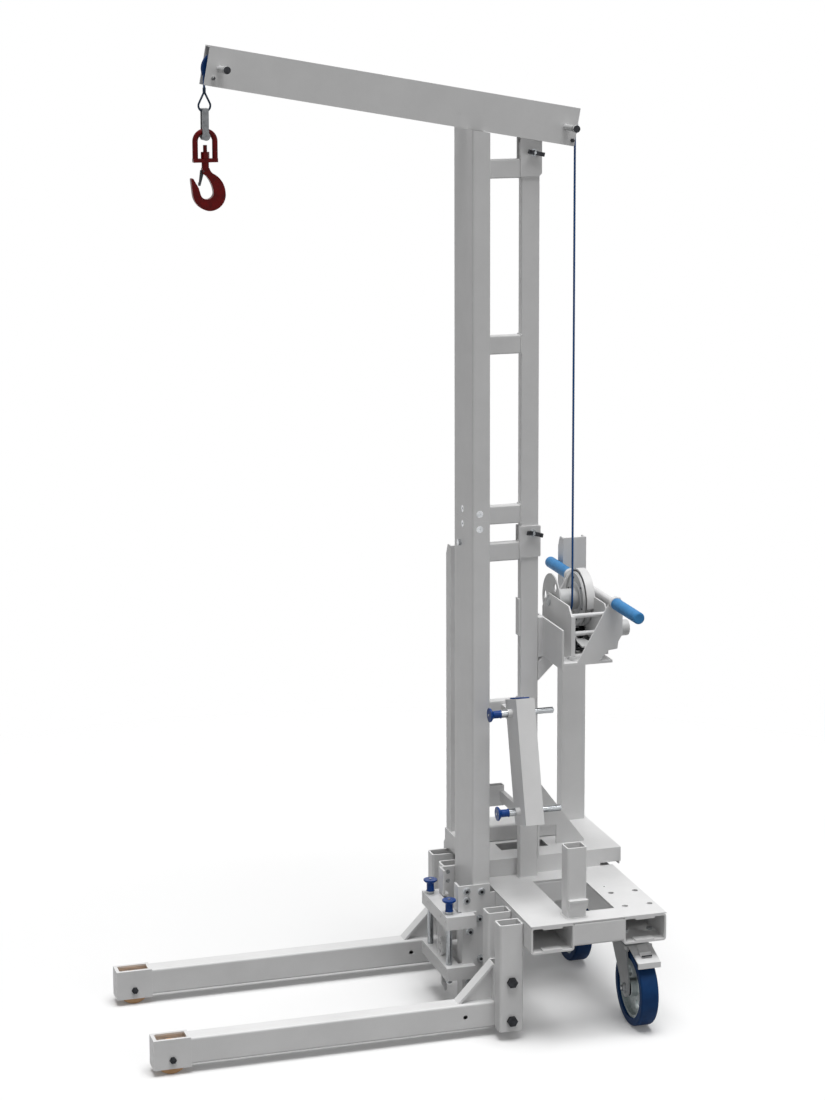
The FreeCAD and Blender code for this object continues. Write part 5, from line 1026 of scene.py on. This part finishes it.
studioValues = {
    "floorRadius": 3.6,        # metres of floor before it gives way to the white backdrop
    "fadeFrom": 1.6,
    "floorSeen": "#eeeeee",
    "floorBounce": "#9c9c9c",  # what the floor throws back on the object
    "lift": 0.1,               # brings the lit floor up to the backdrop's white
    "ambient": 0.19,
    "top": 2.75, "tilt": 9.0, "turn": 12.0, "spread": 40.0,    # overhead panel, angles in degrees
    "topHeight": 5,
    "front": 24,               # watts
    "frontPlace": (1.8, -6.0, 3.0), "frontAim": (0, 0, 1.3), "frontSize": 2.5,
}


def directRays(tree):
    # 1 for what the camera sees, also in a reflection or through glass
    rays = addNode(tree, "ShaderNodeLightPath").outputs
    both = addNode(tree, "ShaderNodeMath", {"operation": "MAXIMUM"},
                   {0: rays["Is Camera Ray"], 1: rays["Is Glossy Ray"]})
    return addNode(tree, "ShaderNodeMath", {"operation": "MAXIMUM"},
                   {0: both.outputs["Value"], 1: rays["Is Transmission Ray"]}).outputs["Value"]


def makeFloor(values):
    work = bmesh.new()
    bmesh.ops.create_circle(work, cap_ends=True, segments=96, radius=values["floorRadius"])
    mesh = meshFrom(work, "studioFloor")
    floor = bpy.data.objects.new("studioFloor", mesh)
    bpy.context.scene.collection.objects.link(floor)
    look = bpy.data.materials.new("palePaperFloor")
    look.use_nodes = True
    tree = look.node_tree
    tree.nodes.remove(tree.nodes["Principled BSDF"])
    seen = directRays(tree)
    paper = addNode(tree, "ShaderNodeMix", {"data_type": "RGBA", 6: linear(values["floorBounce"]),
                                            7: linear(values["floorSeen"])}, {0: seen}).outputs[2]
    matt = addNode(tree, "ShaderNodeBsdfDiffuse", None, {"Color": paper}).outputs[0]
    lift = addNode(tree, "ShaderNodeMath", {"operation": "MULTIPLY", 1: values["lift"]},
                   {0: seen}).outputs["Value"]
    glow = addNode(tree, "ShaderNodeEmission", None, {"Strength": lift}).outputs[0]
    lit = addNode(tree, "ShaderNodeAddShader", None, {0: matt, 1: glow}).outputs[0]
    place = addNode(tree, "ShaderNodeTexCoord").outputs["Object"]
    far = addNode(tree, "ShaderNodeVectorMath", {"operation": "LENGTH"}, {0: place}).outputs["Value"]
    fade = addNode(tree, "ShaderNodeMapRange",
                   {"interpolation_type": "SMOOTHSTEP", "From Min": values["fadeFrom"],
                    "From Max": values["floorRadius"]}, {"Value": far}).outputs["Result"]
    clear = addNode(tree, "ShaderNodeBsdfTransparent").outputs[0]
    mixed = addNode(tree, "ShaderNodeMixShader", None, {0: fade, 1: lit, 2: clear}).outputs[0]
    tree.links.new(mixed, tree.nodes["Material Output"].inputs["Surface"])
    mesh.materials.append(look)


def whiteBackdrop(values):
    # white where the camera looks, dimmer in what it adds to the object's light
    world = bpy.data.worlds.new("studio")
    bpy.context.scene.world = world
    world.use_nodes = True
    sky = world.node_tree
    level = addNode(sky, "ShaderNodeMapRange", {"To Min": values["ambient"], "To Max": 1.0},
                    {"Value": directRays(sky)}).outputs["Result"]
    background = sky.nodes["Background"]
    background.inputs["Color"].default_value = linear("#ffffff")
    sky.links.new(level, background.inputs["Strength"])


def addLamp(name, kind, strength):
    lamp = bpy.data.lights.new(name, kind)
    lamp.energy = strength
    holder = bpy.data.objects.new(name, lamp)
    bpy.context.scene.collection.objects.link(holder)
    return lamp, holder


def hangLamps(values):
    # a very broad overhead panel: even from the floor to the top of the mast
    panel, holder = addLamp("topPanel", "SUN", values["top"])
    panel.angle = math.radians(values["spread"])
    holder.location = (0, 0, values["topHeight"])
    holder.rotation_euler = (math.radians(values["tilt"]), 0, math.radians(values["turn"]))
    # a soft box in front, which fills the sides that face the camera
    box, holder = addLamp("frontLamp", "AREA", values["front"])
    box.shape = "SQUARE"
    box.size = values["frontSize"]
    holder.location = values["frontPlace"]
    aim = Vector(values["frontAim"]) - Vector(values["frontPlace"])
    holder.rotation_euler = aim.to_track_quat("-Z", "Y").to_euler()


makeFloor(studioValues)
whiteBackdrop(studioValues)
hangLamps(studioValues)
bpy.context.scene.view_settings.view_transform = "Standard"
print("floor, light and camera set")
